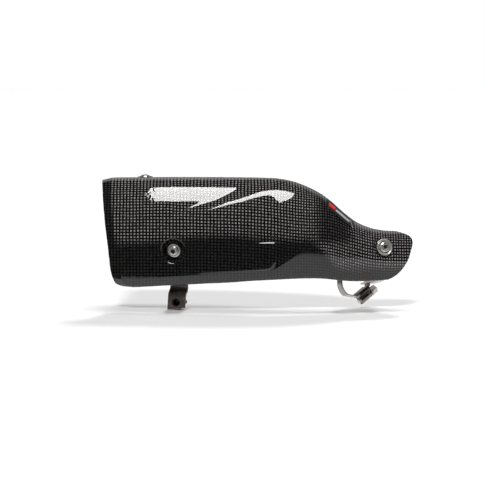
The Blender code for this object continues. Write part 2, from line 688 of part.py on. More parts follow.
def build_screw(worm_frame):
    """Plain screw with a collar and a slotted hexagon head."""
    profile = [(0, 9.6), (4.6, 9.6), (4.6, 8.2), (WORM_R, 8.2), (WORM_R, -7.8),
               (WORM_R - 0.5, -8.3), (0, -8.3)]
    screw = turned("clamp_screw", profile, worm_frame, STEEL)
    head = outline("clamp_screw_hex", [hexagon(8.0)], 6.0, worm_frame @ shift(0, 0, 12.1))
    slot = outline("clamp_screw_slot", [rectangle(0.7, -6, 6)], 3.6,
                   worm_frame @ shift(0, 0, 15.0))
    boolean(screw, head, "UNION")
    boolean(screw, slot)


outline("clamp_band", [band_loop(BAND_THICK), band_loop(0.0)], BAND_WIDTH, clamp_frame, STEEL)
clamp_worm_frame = find_worm_frame()
build_housing(clamp_worm_frame)
build_screw(clamp_worm_frame)

# ---------------------------------------------------------------- badge plate
BADGE_X0, BADGE_X1 = 70.0, 96.5         # ends of its upper edge
BADGE_SLANT = 1.5                       # the lower edge sits this far forward
BADGE_BELOW_CREST = 2.4
BADGE_HEIGHT = 8.6                      # at the rear end
BADGE_TAPER = 0.15                      # share of the height lost at the front end
BADGE_OUT = 0.95                        # outer face above the shell
BADGE_THICK = 0.5
BADGE_COLUMNS, BADGE_ROWS = 8, 2


def badge_point(i, j):
    forward = i / BADGE_COLUMNS
    below = 1 - j / BADGE_ROWS
    x = BADGE_X0 + (BADGE_X1 - BADGE_X0) * forward + below * BADGE_SLANT
    drop = BADGE_BELOW_CREST + BADGE_HEIGHT * below * (1 - BADGE_TAPER * forward)
    point, normal = find_surface(x, curve_value(CREST, x - SHIELD_X0) - drop)
    return point + normal * BADGE_OUT


sheet("badge_plate", BADGE_COLUMNS, BADGE_ROWS, badge_point, BADGE, "Thickness", BADGE_THICK)

# ---------------------------------------------------------------- shading
# Turned pieces hold only a profile and are shaded by their own modifier
for obj in list(parts.objects) + list(cutters.objects):
    if len(obj.data.polygons):
        obj.data.shade_smooth()
        if obj.name not in ("carbon_shell", "badge_plate"):
            obj.data.set_sharp_from_angle(angle=math.radians(40))

# ---------------------------------------------------------------- pivot of the clamp
swing = bpy.data.objects.new("clamp_swing_pivot", None)
parts.objects.link(swing)
swing.matrix_world = to_world(slot_frame)
bpy.context.view_layer.update()
for name in ("clamp_band", "clamp_housing", "clamp_screw"):
    piece = bpy.data.objects[name]
    world = piece.matrix_world.copy()
    piece.parent = swing
    piece.matrix_world = world
bpy.context.view_layer.update()
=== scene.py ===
"""Looks of a carbon exhaust heat shield with its fixings, brackets, worm-drive clamp and badge.

The shield lies along X, rear end at -X and front end at +X. Its outer side faces -Y, towards the
camera, and its deck reaches back to +Y. Shapes are worked out in a design frame in millimetres; the
scene is that frame moved by -CENTRE, in metres. "Height" is the drafting height: z + y * TILT.
"""

import math

import bmesh
import bpy
import numpy as np
from mathutils import Matrix, Vector
from mathutils.geometry import tessellate_polygon


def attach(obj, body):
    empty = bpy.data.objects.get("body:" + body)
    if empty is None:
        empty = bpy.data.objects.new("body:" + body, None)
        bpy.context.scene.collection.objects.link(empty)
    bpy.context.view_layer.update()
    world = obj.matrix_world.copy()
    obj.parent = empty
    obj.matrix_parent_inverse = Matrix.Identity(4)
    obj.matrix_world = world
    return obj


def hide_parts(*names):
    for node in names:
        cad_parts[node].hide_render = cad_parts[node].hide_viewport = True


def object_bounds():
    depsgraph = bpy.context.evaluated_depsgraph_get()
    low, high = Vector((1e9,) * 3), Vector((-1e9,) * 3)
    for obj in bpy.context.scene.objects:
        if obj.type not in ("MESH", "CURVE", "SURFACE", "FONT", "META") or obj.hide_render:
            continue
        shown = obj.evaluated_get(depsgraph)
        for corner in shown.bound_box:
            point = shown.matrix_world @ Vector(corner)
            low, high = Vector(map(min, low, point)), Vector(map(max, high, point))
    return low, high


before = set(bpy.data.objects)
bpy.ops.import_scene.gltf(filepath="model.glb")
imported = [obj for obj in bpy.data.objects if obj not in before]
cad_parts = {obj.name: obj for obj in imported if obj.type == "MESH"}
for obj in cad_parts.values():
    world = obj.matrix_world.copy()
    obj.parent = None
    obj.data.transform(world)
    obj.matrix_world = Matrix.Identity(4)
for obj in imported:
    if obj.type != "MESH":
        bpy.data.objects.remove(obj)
cad_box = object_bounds()

MM = 0.001
CENTRE = np.array((0.01, 46.82, -3.27))     # the scene's origin in the design frame
REAR_X, LENGTH, WALL = -156.0, 311.0, 2.0
VIEW_PITCH = math.radians(5.0)              # the drafting view looks down by this
TILT = math.sin(VIEW_PITCH)
DECK_FALL = math.radians(3.0)

# ------------------------------------------------------------------ surface tables (mm)
# Rows are (station, value); a station is the distance from REAR_X along X.
# Heights of the crest, lower edge, lower crease, and the top of the side panel
CREST = [
    (0, 66.2), (8, 66.4), (55, 66.8), (96, 66.8), (135, 66.4), (158, 65.9), (167, 65.6),
    (176, 65.1), (184, 63.9), (192, 62.1), (200, 59.4), (208, 56.0), (216, 52.0), (224, 46.9),
    (232, 40.7), (240, 33.4), (248, 26.6), (256, 21.0), (264, 17.2), (272, 14.5), (280, 12.9),
    (288, 12.0), (296, 11.7), (311, 11.6)]
HEM = [
    (0, -45.4), (23, -45.3), (40, -44.8), (64, -43.4), (88, -42.3), (104, -41.4), (128, -40.3),
    (152, -38.5), (176, -37.3), (192, -36.5), (224, -36.5), (232, -37.3), (240, -38.2),
    (280, -38.2), (290, -37.4), (311, -37.4)]
LINE = [
    (0, -37.6), (24, -37.0), (49, -36.0), (99, -33.0), (159, -29.6), (167, -28.8), (174, -26.6),
    (182, -21.5), (191, -14.5), (199, -8.2), (206, -4.2), (213, -2.9), (226, -3.6), (238, -7.0),
    (254, -11.0), (262, -12.8), (273, -16.6), (297, -18.6), (311, -18.8)]
SHOULDER = [
    (0, 10.5), (99, 10.5), (139, 9.0), (169, 6.4), (189, 3.6), (206, 2.2), (229, 1.0),
    (249, -4.2), (273, -9.8), (297, -11.6), (311, -11.8)]
# Y of the shoulder
SIDE_Y = [
    (0, 18.8), (12, 16.6), (40, 12.2), (71, 7.6), (110, 3.2), (150, 0.8), (182, 0.0), (215, 1.8),
    (248, 7.2), (282, 17.6), (300, 25.4), (311, 30.6)]
# Y radius of the top roll, and the angle it turns through (degrees)
ROLL_DEPTH = [
    (0, 56), (110, 56), (150, 53), (180, 47), (205, 39), (235, 30), (265, 25), (290, 24), (311, 23)]
ROLL_END = [(0, 63), (120, 63), (150, 66), (185, 76), (205, 82), (311, 84)]
# height from the roll's end up to the crest, then the deck's reach in Y and its bend radius
CREST_RISE = [(0, 3.7), (120, 3.7), (150, 3.0), (185, 2.0), (215, 1.6), (311, 1.2)]
DECK = [(0, 46), (125, 46), (148, 37), (168, 25), (188, 17), (218, 12), (258, 9), (311, 8)]
DECK_RADIUS = [(0, 78), (130, 78), (165, 44), (190, 26), (311, 16)]
# Y gained per mm of height down the lower facet, at its top and its foot
FACET_TOP = [(0, 0.80), (120, 0.72), (165, 0.52), (190, 0.34), (215, 0.27), (311, 0.27)]
FACET_FOOT = [(0, 0.92), (120, 0.86), (165, 0.74), (190, 0.64), (311, 0.60)]
# Outlines of the two ends, rows of (height, X)
REAR_EDGE = [
    (-45.4, -134.0), (-44.5, -138.4), (-43.4, -141.2), (-42.0, -143.0), (-39.5, -144.6),
    (-36.0, -145.9), (-30.0, -147.4), (-18.0, -148.9), (-6.0, -150.1), (6.0, -151.5),
    (18.0, -152.9), (30.0, -153.9), (42.0, -154.9), (54.0, -155.6), (62.0, -156.1), (66.2, -156.4)]
FRONT_EDGE = [
    (-37.4, 131.4), (-36.0, 135.4), (-33.5, 139.6), (-30.5, 143.2), (-27.5, 145.8), (-24.5, 148.0),
    (-21.5, 149.9), (-18.5, 151.6), (-12.5, 153.8), (-6.0, 155.4), (0.0, 156.4), (3.0, 156.2),
    (5.5, 155.0), (7.5, 152.6), (9.2, 149.0), (10.6, 144.6), (11.5, 140.6)]
REAR_STATION, FRONT_STATION = 6.0, 304.0    # sections whose heights index the two outlines
# how closely the cloth's columns are drawn together, 1 where it lies undisturbed
DRAPE = [
    (0, 1.0), (145, 1.0), (168, 1.02), (190, 1.15), (215, 1.30), (240, 1.33), (262, 1.24),
    (285, 1.16), (311, 1.14)]

LOWER_FACET, SIDE_PANEL, TOP_ROLL, TOP_DECK = range(4)      # zones, from the lower edge up
ZONE_STEPS = (12, 56, 52, 50)                               # mesh rows in each
# mesh columns along X: (from, to, spacing), finer round the dishes
COLUMN_RUNS = [
    (-156, -147, 1.2), (-147, -126, 1.9), (-126, -69, 0.8), (-69, 113, 1.75), (113, 143, 0.8),
    (143, 155, 1.3)]
LIP_WIDTH = 9.5                                             # of the rolled-in rear lip


# ------------------------------------------------------------------ surface rules
def curve(table, at):
    """Smooth curve through the table's rows, evaluated on an array."""
    knots, values = np.array(table, float).T
    gap = np.diff(knots)
    slope = np.diff(values) / gap
    tangent = np.empty_like(values)
    tangent[0], tangent[-1] = slope[0], slope[-1]
    tangent[1:-1] = (slope[:-1] * gap[1:] + slope[1:] * gap[:-1]) / (gap[:-1] + gap[1:])
    at = np.clip(np.asarray(at, float), knots[0], knots[-1])
    k = np.clip(np.searchsorted(knots, at) - 1, 0, len(gap) - 1)
    part = (at - knots[k]) / gap[k]
    return ((2 * part**3 - 3 * part**2 + 1) * values[k]
            + (part**3 - 2 * part**2 + part) * gap[k] * tangent[k]
            + (-2 * part**3 + 3 * part**2) * values[k + 1]
            + (part**3 - part**2) * gap[k] * tangent[k + 1])


def ease(part):
    part = np.clip(part, 0.0, 1.0)
    return part * part * (3 - 2 * part)


def section(station, zone, share):
    """(Y, height) of the outer surface, share running 0 to 1 up or back across the zone."""
    station, share = np.broadcast_arrays(np.asarray(station, float), np.asarray(share, float))
    line, shoulder, side = (curve(table, station) for table in (LINE, SHOULDER, SIDE_Y))
    drop = shoulder - line
    tuck = 0.10 * drop * (drop / (drop + 8.0))      # Y gained from the shoulder to the lower crease
    if zone == LOWER_FACET:
        hem, top, foot = (curve(table, station) for table in (HEM, FACET_TOP, FACET_FOOT))
        below = (line - hem) * (1 - share)
        bend = (foot - top) * below * below / (2 * (line - hem))
        return side + tuck + top * below + bend, line - below
    if zone == SIDE_PANEL:
        below = 1 - share
        return side + tuck * below * below, shoulder - drop * below
    depth, end = curve(ROLL_DEPTH, station), np.radians(curve(ROLL_END, station))
    rise = curve(CREST_RISE, station)
    crease = curve(CREST, station) - rise
    roll_height = (crease - shoulder - depth * (1 - np.cos(end)) * TILT) / np.sin(end)
    if zone == TOP_ROLL:
        angle = end * share
        back = depth * (1 - np.cos(angle))
        return side + back, shoulder + roll_height * np.sin(angle) + back * TILT
    radius = curve(DECK_RADIUS, station)
    start = np.arccos(1 - rise / radius)
    reach = curve(DECK, station) * share
    turn = radius * (start + DECK_FALL)
    bent = np.cos(start - np.minimum(reach, turn) / radius) - np.cos(start)
    height = crease + radius * bent - np.maximum(0, reach - turn) * math.tan(DECK_FALL)
    return side + depth * (1 - np.cos(end)) + reach, height


def base_point(along, zone, share):
    """Point (and height) of the plain form, along running 0 to 1 from the rear edge to the front."""
    along, share = np.broadcast_arrays(np.asarray(along, float), np.asarray(share, float))
    x = REAR_X + LENGTH * along
    rear = curve(REAR_EDGE, section(REAR_STATION, zone, share)[1])
    front = curve(FRONT_EDGE, section(FRONT_STATION, zone, share)[1])
    x = x + (rear - REAR_X) * (1 - along) ** 3
    x = x + (front - (REAR_X + LENGTH)) * along**5
    y, height = section(x - REAR_X, zone, share)
    return np.stack([x, y, height - y * TILT], -1), height


def relief(x, height):
    """How far the slanted ledge and the long pod below it stand over the plain form."""
    lower = 28.4 + 0.237 * (x + 60) + 0.0003 * (x + 60) ** 2        # height of the ledge's edge
    rise = np.maximum(6.96 + 0.114 * (x + 75), 4.2)                 # its slope ends this far above
    steep = 0.344 + 0.113 * ease((x + 78) / 26)
    stand = np.minimum(5.85, steep * rise) * ease((x + 91.3) / 12.4) * (1 - ease((x + 24.4) / 47.1))
    # straight slope, rounded within `low_round` of its start and `high_round` of its end
    low_round, high_round = 0.242, 0.085
    part = np.clip((lower + rise - height) / rise, -low_round, 1 + high_round)
    slope = np.where(part < low_round, (part + low_round) ** 2 / (4 * low_round), part)
    slope = np.where(part > 1 - high_round,
                     1 - (1 + high_round - part) ** 2 / (4 * high_round), slope)
    ledge = stand * slope * (1 - ease((lower - height) / 45.6))
    # the pod: its faded top, foot and front end
    width = 7.0 - 4.2 * ease((x + 30) / 40)
    top = 1 - ease((height - (0.9 + 0.02 * x) + width) / width)
    foot = ease((height - curve(LINE, x - REAR_X) - 0.8) / 2.0)
    end = 1 - ease((x - (23.5 - 7.5 * ((height + 8) / 20) ** 2) + 6) / 6.0)
    return ledge + 1.7 * ease((x + 70) / 75) * top * foot * end


def surface(along, zone, share):
    """Outer surface with the relief and the rolled-in rear lip, and its normal."""
    point, height = base_point(along, zone, share)
    step = 1e-3
    share_next = np.where(share < 0.5, share + step, share - step)
    along_next = np.where(along < 0.5, along + step, along - step)
    d_along = base_point(along_next, zone, share)[0] - point
    d_along = d_along * np.sign(along_next - along)[..., None]
    d_share = base_point(along, zone, share_next)[0] - point
    d_share = d_share * np.sign(share_next - share)[..., None]
    normal = np.cross(d_along, d_share)
    normal /= np.linalg.norm(normal, axis=-1, keepdims=True)
    from_edge = point[..., 0] - curve(REAR_EDGE, section(REAR_STATION, zone, share)[1])
    lip_depth = (1.4 + 2.8 * share, 4.2, 4.2 - 2.2 * share * share, 2.0)[zone]
    lip = np.clip(1 - from_edge / LIP_WIDTH, 0, None) * lip_depth
    return point + normal * (relief(point[..., 0], height) - lip)[..., None], normal


def find_surface(x, height):
    """Outer surface point at x and a height below the deck."""
    station = x - REAR_X
    along = min(1.0, max(0.0, station / LENGTH))
    if height < curve(LINE, station):
        zone = LOWER_FACET
    else:
        zone = SIDE_PANEL if height < curve(SHOULDER, station) else TOP_ROLL
    for _ in range(8):
        low, high = 0.0, 1.0
        for _ in range(40):
            middle = (low + high) / 2
            if base_point(along, zone, middle)[1] < height:
                low = middle
            else:
                high = middle
        share, found = (low + high) / 2, along
        along += (x - base_point(along, zone, share)[0][0]) / LENGTH
    return Vector(surface(np.array(found), zone, np.array(share))[0])


# ------------------------------------------------------------------ fixing frames and dishes (mm)
def frame_at(origin, out, down):
    """Frame with Z pointing out of the shield and Y against down."""
    z_axis = out.normalized()
    y_axis = -(down - z_axis * down.dot(z_axis)).normalized()
    matrix = Matrix((y_axis.cross(z_axis), y_axis, z_axis)).transposed().to_4x4()
    matrix.translation = origin
    return matrix


def to_local(points, matrix):
    matrix = np.array(matrix)
    return (points - matrix[:3, 3]) @ matrix[:3, :3]


def to_design(points, matrix):
    matrix = np.array(matrix)
    return points @ matrix[:3, :3].T + matrix[:3, 3]


REAR_OUT = Vector((-0.34, -0.92, -0.18)).normalized()
FRONT_OUT = Vector((0.38, -0.90, 0.22)).normalized()
TOP_OUT = Vector((-0.03, -0.06, 1.0)).normalized()
REAR_LEAN = math.radians(3.6)
REAR_SINK, FRONT_SINK, TOP_SINK = 5.5, 3.4, 4.2     # depths of the dish floors
TOP_X, TOP_REACH = -113.4, 24.0                     # the top dish's X and its way back over the deck

rear_frame = frame_at(find_surface(-84.0, -8.8) - REAR_OUT * REAR_SINK, REAR_OUT,
                      Vector((-math.sin(REAR_LEAN), 0, -math.cos(REAR_LEAN))))
front_frame = frame_at(find_surface(127.6, -4.6) - FRONT_OUT * FRONT_SINK, FRONT_OUT,
                       Vector((0, 0, -1)))
top_station = TOP_X - REAR_X
top_y, top_height = section(top_station, TOP_DECK, TOP_REACH / curve(DECK, top_station))
top_frame = frame_at(Vector((TOP_X, float(top_y), float(top_height - top_y * TILT)))
                     - TOP_OUT * TOP_SINK, TOP_OUT, Vector((0, -1, 0)))
# (frame, radius, width of the sloping wall)
DISHES = [(rear_frame, 13.3, 4.0), (front_frame, 12.0, 3.0), (top_frame, 11.0, 2.6)]
DISH_ZONE = 16          # only points this close to a dish's plane are pressed
HOLE = 5.75             # radius of the bolt holes
HOLE_ZONE = 8           # only points this close to a dish's plane belong to its hole


def press_dishes(points):
    """Pushes points down into the round dishes, each with a flat floor and a rounded rim."""
    for matrix, radius, wall in DISHES:
        local = to_local(points, matrix)
        reach = np.hypot(local[..., 0], local[..., 1])
        rise = np.clip((reach - (radius - wall)) / wall, 0, 1)
        rise = ease(rise) * 0.55 + rise * 0.45
        near = (reach < radius) & (np.abs(local[..., 2]) < DISH_ZONE)
        move = np.where(near, local[..., 2] * (rise - 1), 0.0)
        points = points + move[..., None] * np.array(matrix)[:3, 2]
    return points


# ------------------------------------------------------------------ carbon shell
UV_SCALE = 100.0                    # mm of cloth per UV unit
# rounded rim between the faces: (share of the thickness from outside, bulge in mm)
RIM_ROWS = ((0.08, 0.16), (0.3, 0.3), (0.7, 0.3), (0.92, 0.16))
RIM_OUTSIDE = (1, 0.7, 0.3, 0)      # the rim rows' values of the "outside" attribute


def spread(runs):
    """Stations from (from, to, spacing) runs."""
    stations = []
    for start, end, gap in runs:
        count = max(1, round((end - start) / gap))
        stations += [start + (end - start) * i / count for i in range(count)]
    return np.array(stations + [runs[-1][1]])


def shell_grid():
    """Grids of the outer and inner surface, rows from the lower edge up, columns rear to front."""
    along = (spread(COLUMN_RUNS) - REAR_X) / LENGTH
    outer, inner = [], []
    for zone, steps in enumerate(ZONE_STEPS):
        for i in range(1 if zone else 0, steps + 1):
            points, normals = surface(along, zone, np.full_like(along, i / steps))
            outer.append(points)
            inner.append(points - normals * WALL)
    return np.array(outer), np.array(inner)


def weave_coordinates(outer):
    """Cloth coordinates in mm: along the draped side in u, up from the shoulder in v."""
    step = np.linalg.norm(np.diff(outer, axis=0), axis=-1)
    v = np.concatenate([np.zeros((1, outer.shape[1])), np.cumsum(step, 0)])
    v = v - v[sum(ZONE_STEPS[:TOP_ROLL])]
    xs = np.linspace(-160, 160, 1281)
    side_slope = np.gradient(curve(SIDE_Y, xs - REAR_X), xs)
    run = np.sqrt(1 + side_slope ** 2) * curve(DRAPE, xs - REAR_X)
    arc = np.concatenate([[0], np.cumsum((run[1:] + run[:-1]) / 2 * np.diff(xs))])
    return np.stack([np.interp(outer[..., 0], xs, arc), v], -1)


def near_hole(points, matrix, radius):
    local = to_local(points, matrix)
    return ((np.abs(local[..., 2]) < HOLE_ZONE)
            & (np.hypot(local[..., 0], local[..., 1]) < radius))


def faces_per_point(faces_on):
    """How many of the grid's faces meet at each of its points."""
    rows, columns = faces_on.shape
    count = np.zeros((rows + 1, columns + 1), int)
    for i, j in ((0, 0), (1, 0), (0, 1), (1, 1)):
        count[i:rows + i, j:columns + j] += faces_on
    return count


def cut_holes(outer, inner):
    """Snaps the rims of the bolt holes to circles and returns which grid faces remain."""
    hole = np.zeros(outer.shape[:2], bool)
    for matrix, *_ in DISHES:
        hole |= near_hole(outer, matrix, HOLE - 0.25)
    faces_on = ~(hole[:-1, :-1] | hole[1:, :-1] | hole[:-1, 1:] | hole[1:, 1:])
    used = faces_per_point(faces_on)
    rim = (used > 0) & (used < faces_per_point(np.ones_like(faces_on)))
    for matrix, *_ in DISHES:
        pick = rim & near_hole(outer, matrix, HOLE + 2.5)
        for points in (outer, inner):
            local = to_local(points[pick], matrix)
            local[:, :2] *= (HOLE / np.hypot(local[:, 0], local[:, 1]))[:, None]
            points[pick] = to_design(local, matrix)
    return faces_on


def open_edges(quads):
    """Edges that only one quad uses, in that quad's direction."""
    edges = {}
    for quad in quads.tolist():
        for start, end in zip(quad, quad[1:] + quad[:1]):
            if (end, start) in edges:
                del edges[(end, start)]
            else:
                edges[(start, end)] = True
    return list(edges)


def unit(vector):
    return vector / max(np.linalg.norm(vector), 1e-9)


def rim_walls(outer, inner, edges):
    """Rounded walls along the open edges: new points, quads and the outer points they start at."""
    outward = {}
    for start, end in edges:
        normal = unit(np.cross(outer[end] - outer[start], outer[start] - inner[start]))
        for k in (start, end):
            outward[k] = outward.get(k, 0) + normal
    points, ladder = [], {}
    for k, normal in outward.items():
        first = 2 * len(outer) + len(points)
        for share, bulge in RIM_ROWS:
            points.append(outer[k] * (1 - share) + inner[k] * share + unit(normal) * bulge)
        ladder[k] = [k, *range(first, first + len(RIM_ROWS)), k + len(outer)]
    quads = [(ladder[a][i], ladder[a][i + 1], ladder[b][i + 1], ladder[b][i])
             for a, b in edges for i in range(len(RIM_ROWS) + 1)]
    return np.array(points), np.array(quads), list(outward)


def add_object(name, data):
    obj = bpy.data.objects.new(name, data)
    bpy.context.scene.collection.objects.link(obj)
    return obj


def point_attribute(mesh, name, values):
    attribute = mesh.attributes.new(name, "FLOAT", "POINT")
    attribute.data.foreach_set("value", values.astype(np.float32))


def build_shell():
    outer_grid, inner_grid = shell_grid()
    weave = weave_coordinates(outer_grid).reshape(-1, 2)
    inset = (outer_grid[..., 0] - outer_grid[:, :1, 0]).reshape(-1)     # mm from the rear edge
    outer, inner = press_dishes(outer_grid), press_dishes(inner_grid)
    faces_on = cut_holes(outer, inner)
    index = np.arange(inset.size).reshape(outer.shape[:2])
    outer, inner = outer.reshape(-1, 3), inner.reshape(-1, 3)
    corners = (index[:-1, :-1], index[:-1, 1:], index[1:, 1:], index[1:, :-1])
    outer_quads = np.stack(corners, -1)[faces_on]
    inner_quads = outer_quads[:, ::-1] + len(outer)
    rim_points, rim_quads, rim = rim_walls(outer, inner, open_edges(outer_quads))

    points = np.concatenate([outer, inner, rim_points]) - CENTRE
    faces = np.concatenate([outer_quads, inner_quads, rim_quads])
    keep = np.unique(faces)
    renumber = np.full(len(points), -1)
    renumber[keep] = np.arange(len(keep))
    mesh = bpy.data.meshes.new("carbon_skin")
    mesh.from_pydata((points[keep] * MM).tolist(), [], renumber[faces].tolist())

    def on_all_points(values):
        """Carries values of the outer points over to the inner and rim points."""
        repeated = np.repeat(values[rim], len(RIM_ROWS), axis=0)
        return np.concatenate([values, values, repeated])[keep]

    layer = mesh.uv_layers.new(name="weave")
    loops = np.empty(len(mesh.loops), int)
    mesh.loops.foreach_get("vertex_index", loops)
    uv = on_all_points(weave)[loops] / UV_SCALE
    layer.data.foreach_set("uv", uv.astype(np.float32).ravel())
    # which side of the laminate a point is on: 1 outside, 0 inside
    side = np.concatenate([np.ones(len(outer)), np.zeros(len(outer)),
                           np.tile(RIM_OUTSIDE, len(rim))])[keep]
    point_attribute(mesh, "outside", side)
    point_attribute(mesh, "inset", on_all_points(inset))
    mesh.shade_smooth()
    mesh.update()
    return add_object("carbon_skin", mesh)


# ------------------------------------------------------------------ node graphs as expressions
class Value:
    """A shader value; arithmetic on it adds Math nodes."""

    def __init__(self, graph, socket):
        self.graph, self.socket = graph, socket

    def __add__(self, other):
        return self.graph.math("ADD", self, other)

    def __sub__(self, other):
        return self.graph.math("SUBTRACT", self, other)

    def __rsub__(self, other):
        return self.graph.math("SUBTRACT", other, self)

    def __mul__(self, other):
        return self.graph.math("MULTIPLY", self, other)

    def __truediv__(self, other):
        return self.graph.math("DIVIDE", self, other)

    def __abs__(self):
        return self.graph.math("ABSOLUTE", self)


class Graph:
    """Adds nodes to a tree; most methods return the new node's output as a Value."""

    def __init__(self, tree):
        self.tree = tree

    def node(self, kind, inputs=None, **settings):
        """A new node, its inputs fed by name or number."""
        node = self.tree.nodes.new(kind)
        for key, value in settings.items():
            setattr(node, key, value)
        self.feed(node, inputs or {})
        return node

    def feed(self, node, inputs):
        for key, value in inputs.items():
            value = value.socket if isinstance(value, Value) else value
            if isinstance(value, bpy.types.NodeSocket):
                self.tree.links.new(value, node.inputs[key])
            else:
                node.inputs[key].default_value = value

    def add(self, kind, inputs=None, output=0, **settings):
        return Value(self, self.node(kind, inputs, **settings).outputs[output])

    def math(self, operation, *values):
        return self.add("ShaderNodeMath", dict(enumerate(values)), operation=operation)

    def vector(self, operation, *values, output=0):
        return self.add("ShaderNodeVectorMath", dict(enumerate(values)), output,
                        operation=operation)

    def combine(self, x, y, z=0.0):
        return self.add("ShaderNodeCombineXYZ", {0: x, 1: y, 2: z})

    def split(self, vector):
        node = self.node("ShaderNodeSeparateXYZ", {0: vector})
        return [Value(self, socket) for socket in node.outputs]

    def place(self):
        """Object coordinates, metres."""
        return self.add("ShaderNodeTexCoord", output="Object")

    def attribute(self, name):
        return self.add("ShaderNodeAttribute", output="Fac", attribute_name=name)

    def smooth(self, value, low, high):
        """0 at low to 1 at high, eased at both ends."""
        return self.add("ShaderNodeMapRange", {"Value": value, "From Min": low, "From Max": high},
                        interpolation_type="SMOOTHSTEP")

    def remap(self, value, span, to=(0.0, 1.0)):
        return self.add("ShaderNodeMapRange", {
            "Value": value, "From Min": span[0], "From Max": span[1],
            "To Min": to[0], "To Max": to[1]})

    def mix(self, factor, *colours):
        """Blend of two colours."""
        first, second = (c if isinstance(c, Value) else (*c, 1) for c in colours)
        return self.add("ShaderNodeMix", {0: factor, 6: first, 7: second}, 2, data_type="RGBA")

    def blend(self, factor, first, second):
        """Blend of two numbers."""
        return self.add("ShaderNodeMix", {0: factor, 2: first, 3: second}, data_type="FLOAT")

    def noise(self, vector, scale=1.0, detail=2.0, rough=0.5):
        return self.add("ShaderNodeTexNoise", {
            "Vector": vector, "Scale": scale, "Detail": detail, "Roughness": rough}, "Fac")

    def bump(self, height, strength, distance):
        return self.add("ShaderNodeBump", {
            "Strength": strength, "Distance": distance, "Height": height})


def new_material(name):
    material = bpy.data.materials.new(name)
    material.use_nodes = True
    tree = material.node_tree
    return material, Graph(tree), tree.nodes["Principled BSDF"]


# ------------------------------------------------------------------ carbon cloth
PITCH_U, PITCH_V = 3.36, 3.14      # spacing of the cloth's tows, mm
CROWN = 0.80                       # how far a tow's crown stands over its edges, mm
# colours of the resin, the tow bodies in it, and the crowns in painted shade and in painted light
RESIN, BODY = (0.0030, 0.0029, 0.0031), (0.0105, 0.0100, 0.0099)
SHADED_CROWN, LIT_CROWN = (0.027, 0.026, 0.0255), (0.330, 0.309, 0.306)
# colours of the inside face: resin, crowns and cloudy patches
INNER_RESIN, INNER_TOW, INNER_CLOUD = (0.010,) * 3, (0.028,) * 3, (0.02, 0.0195, 0.019)
FIBRE_SPAN = (0.3, 0.7)            # the working range of the fibre noise


def painted_light_share(graph):
    """Share of painted light on the tow crowns: 1 on the upper faces; 0 in painted shade on the
    lower panel and at the rear lip, and nearly so in painted shade in a hollow near the front end."""
    x, y, z = graph.split(graph.place())
    height = (z + y * TILT) * 1000.0
    # height of the boundary between painted light and painted shade along the shield, mm
    line = graph.smooth(x, low=-0.133, high=-0.037) * 7.5
    line = line - graph.smooth(x, low=-0.037, high=0.040) * 4.0
    line = line - graph.smooth(x, low=0.050, high=0.086) * 29.0
    # painted light above the boundary, painted shade below it
    lit_share = graph.smooth(height - (line - 0.8), low=-6.5, high=6.5)
    # painted shade in a hollow near the front end
    hollow_shade = (graph.smooth(x, low=0.052, high=0.068)
              * (1.0 - graph.smooth(x, low=0.086, high=0.104)))
    hollow_shade = hollow_shade * graph.smooth(height, low=-6.0, high=4.0)
    lit_share = lit_share * (1.0 - hollow_shade * 0.88)
    # painted shade along the rear lip, within about 10 mm of the rear edge
    return lit_share * graph.smooth(graph.attribute("inset"), low=6.5, high=10.0)


def tow_normal(graph, cell_u, cell_v, parity, fibre):
    """Normal of the rounded tows; they lean more across than along, with fine fibre ripple."""
    across, along = 8 * CROWN, 7 * CROWN
    ripple = (fibre - 0.5) * 0.22
    steep_u = graph.blend(parity, across / PITCH_U, along / PITCH_U)
    steep_v = graph.blend(parity, along / PITCH_V, across / PITCH_V)
    lean = graph.combine(cell_u * steep_u + ripple * parity,
                         cell_v * steep_v + ripple * (1.0 - parity), 1.0)
    half = (0.5, 0.5, 0.5)
    packed = graph.vector("MULTIPLY_ADD", graph.vector("NORMALIZE", lean), half, half)
    return graph.add("ShaderNodeNormalMap", {"Color": packed}, uv_map="weave")


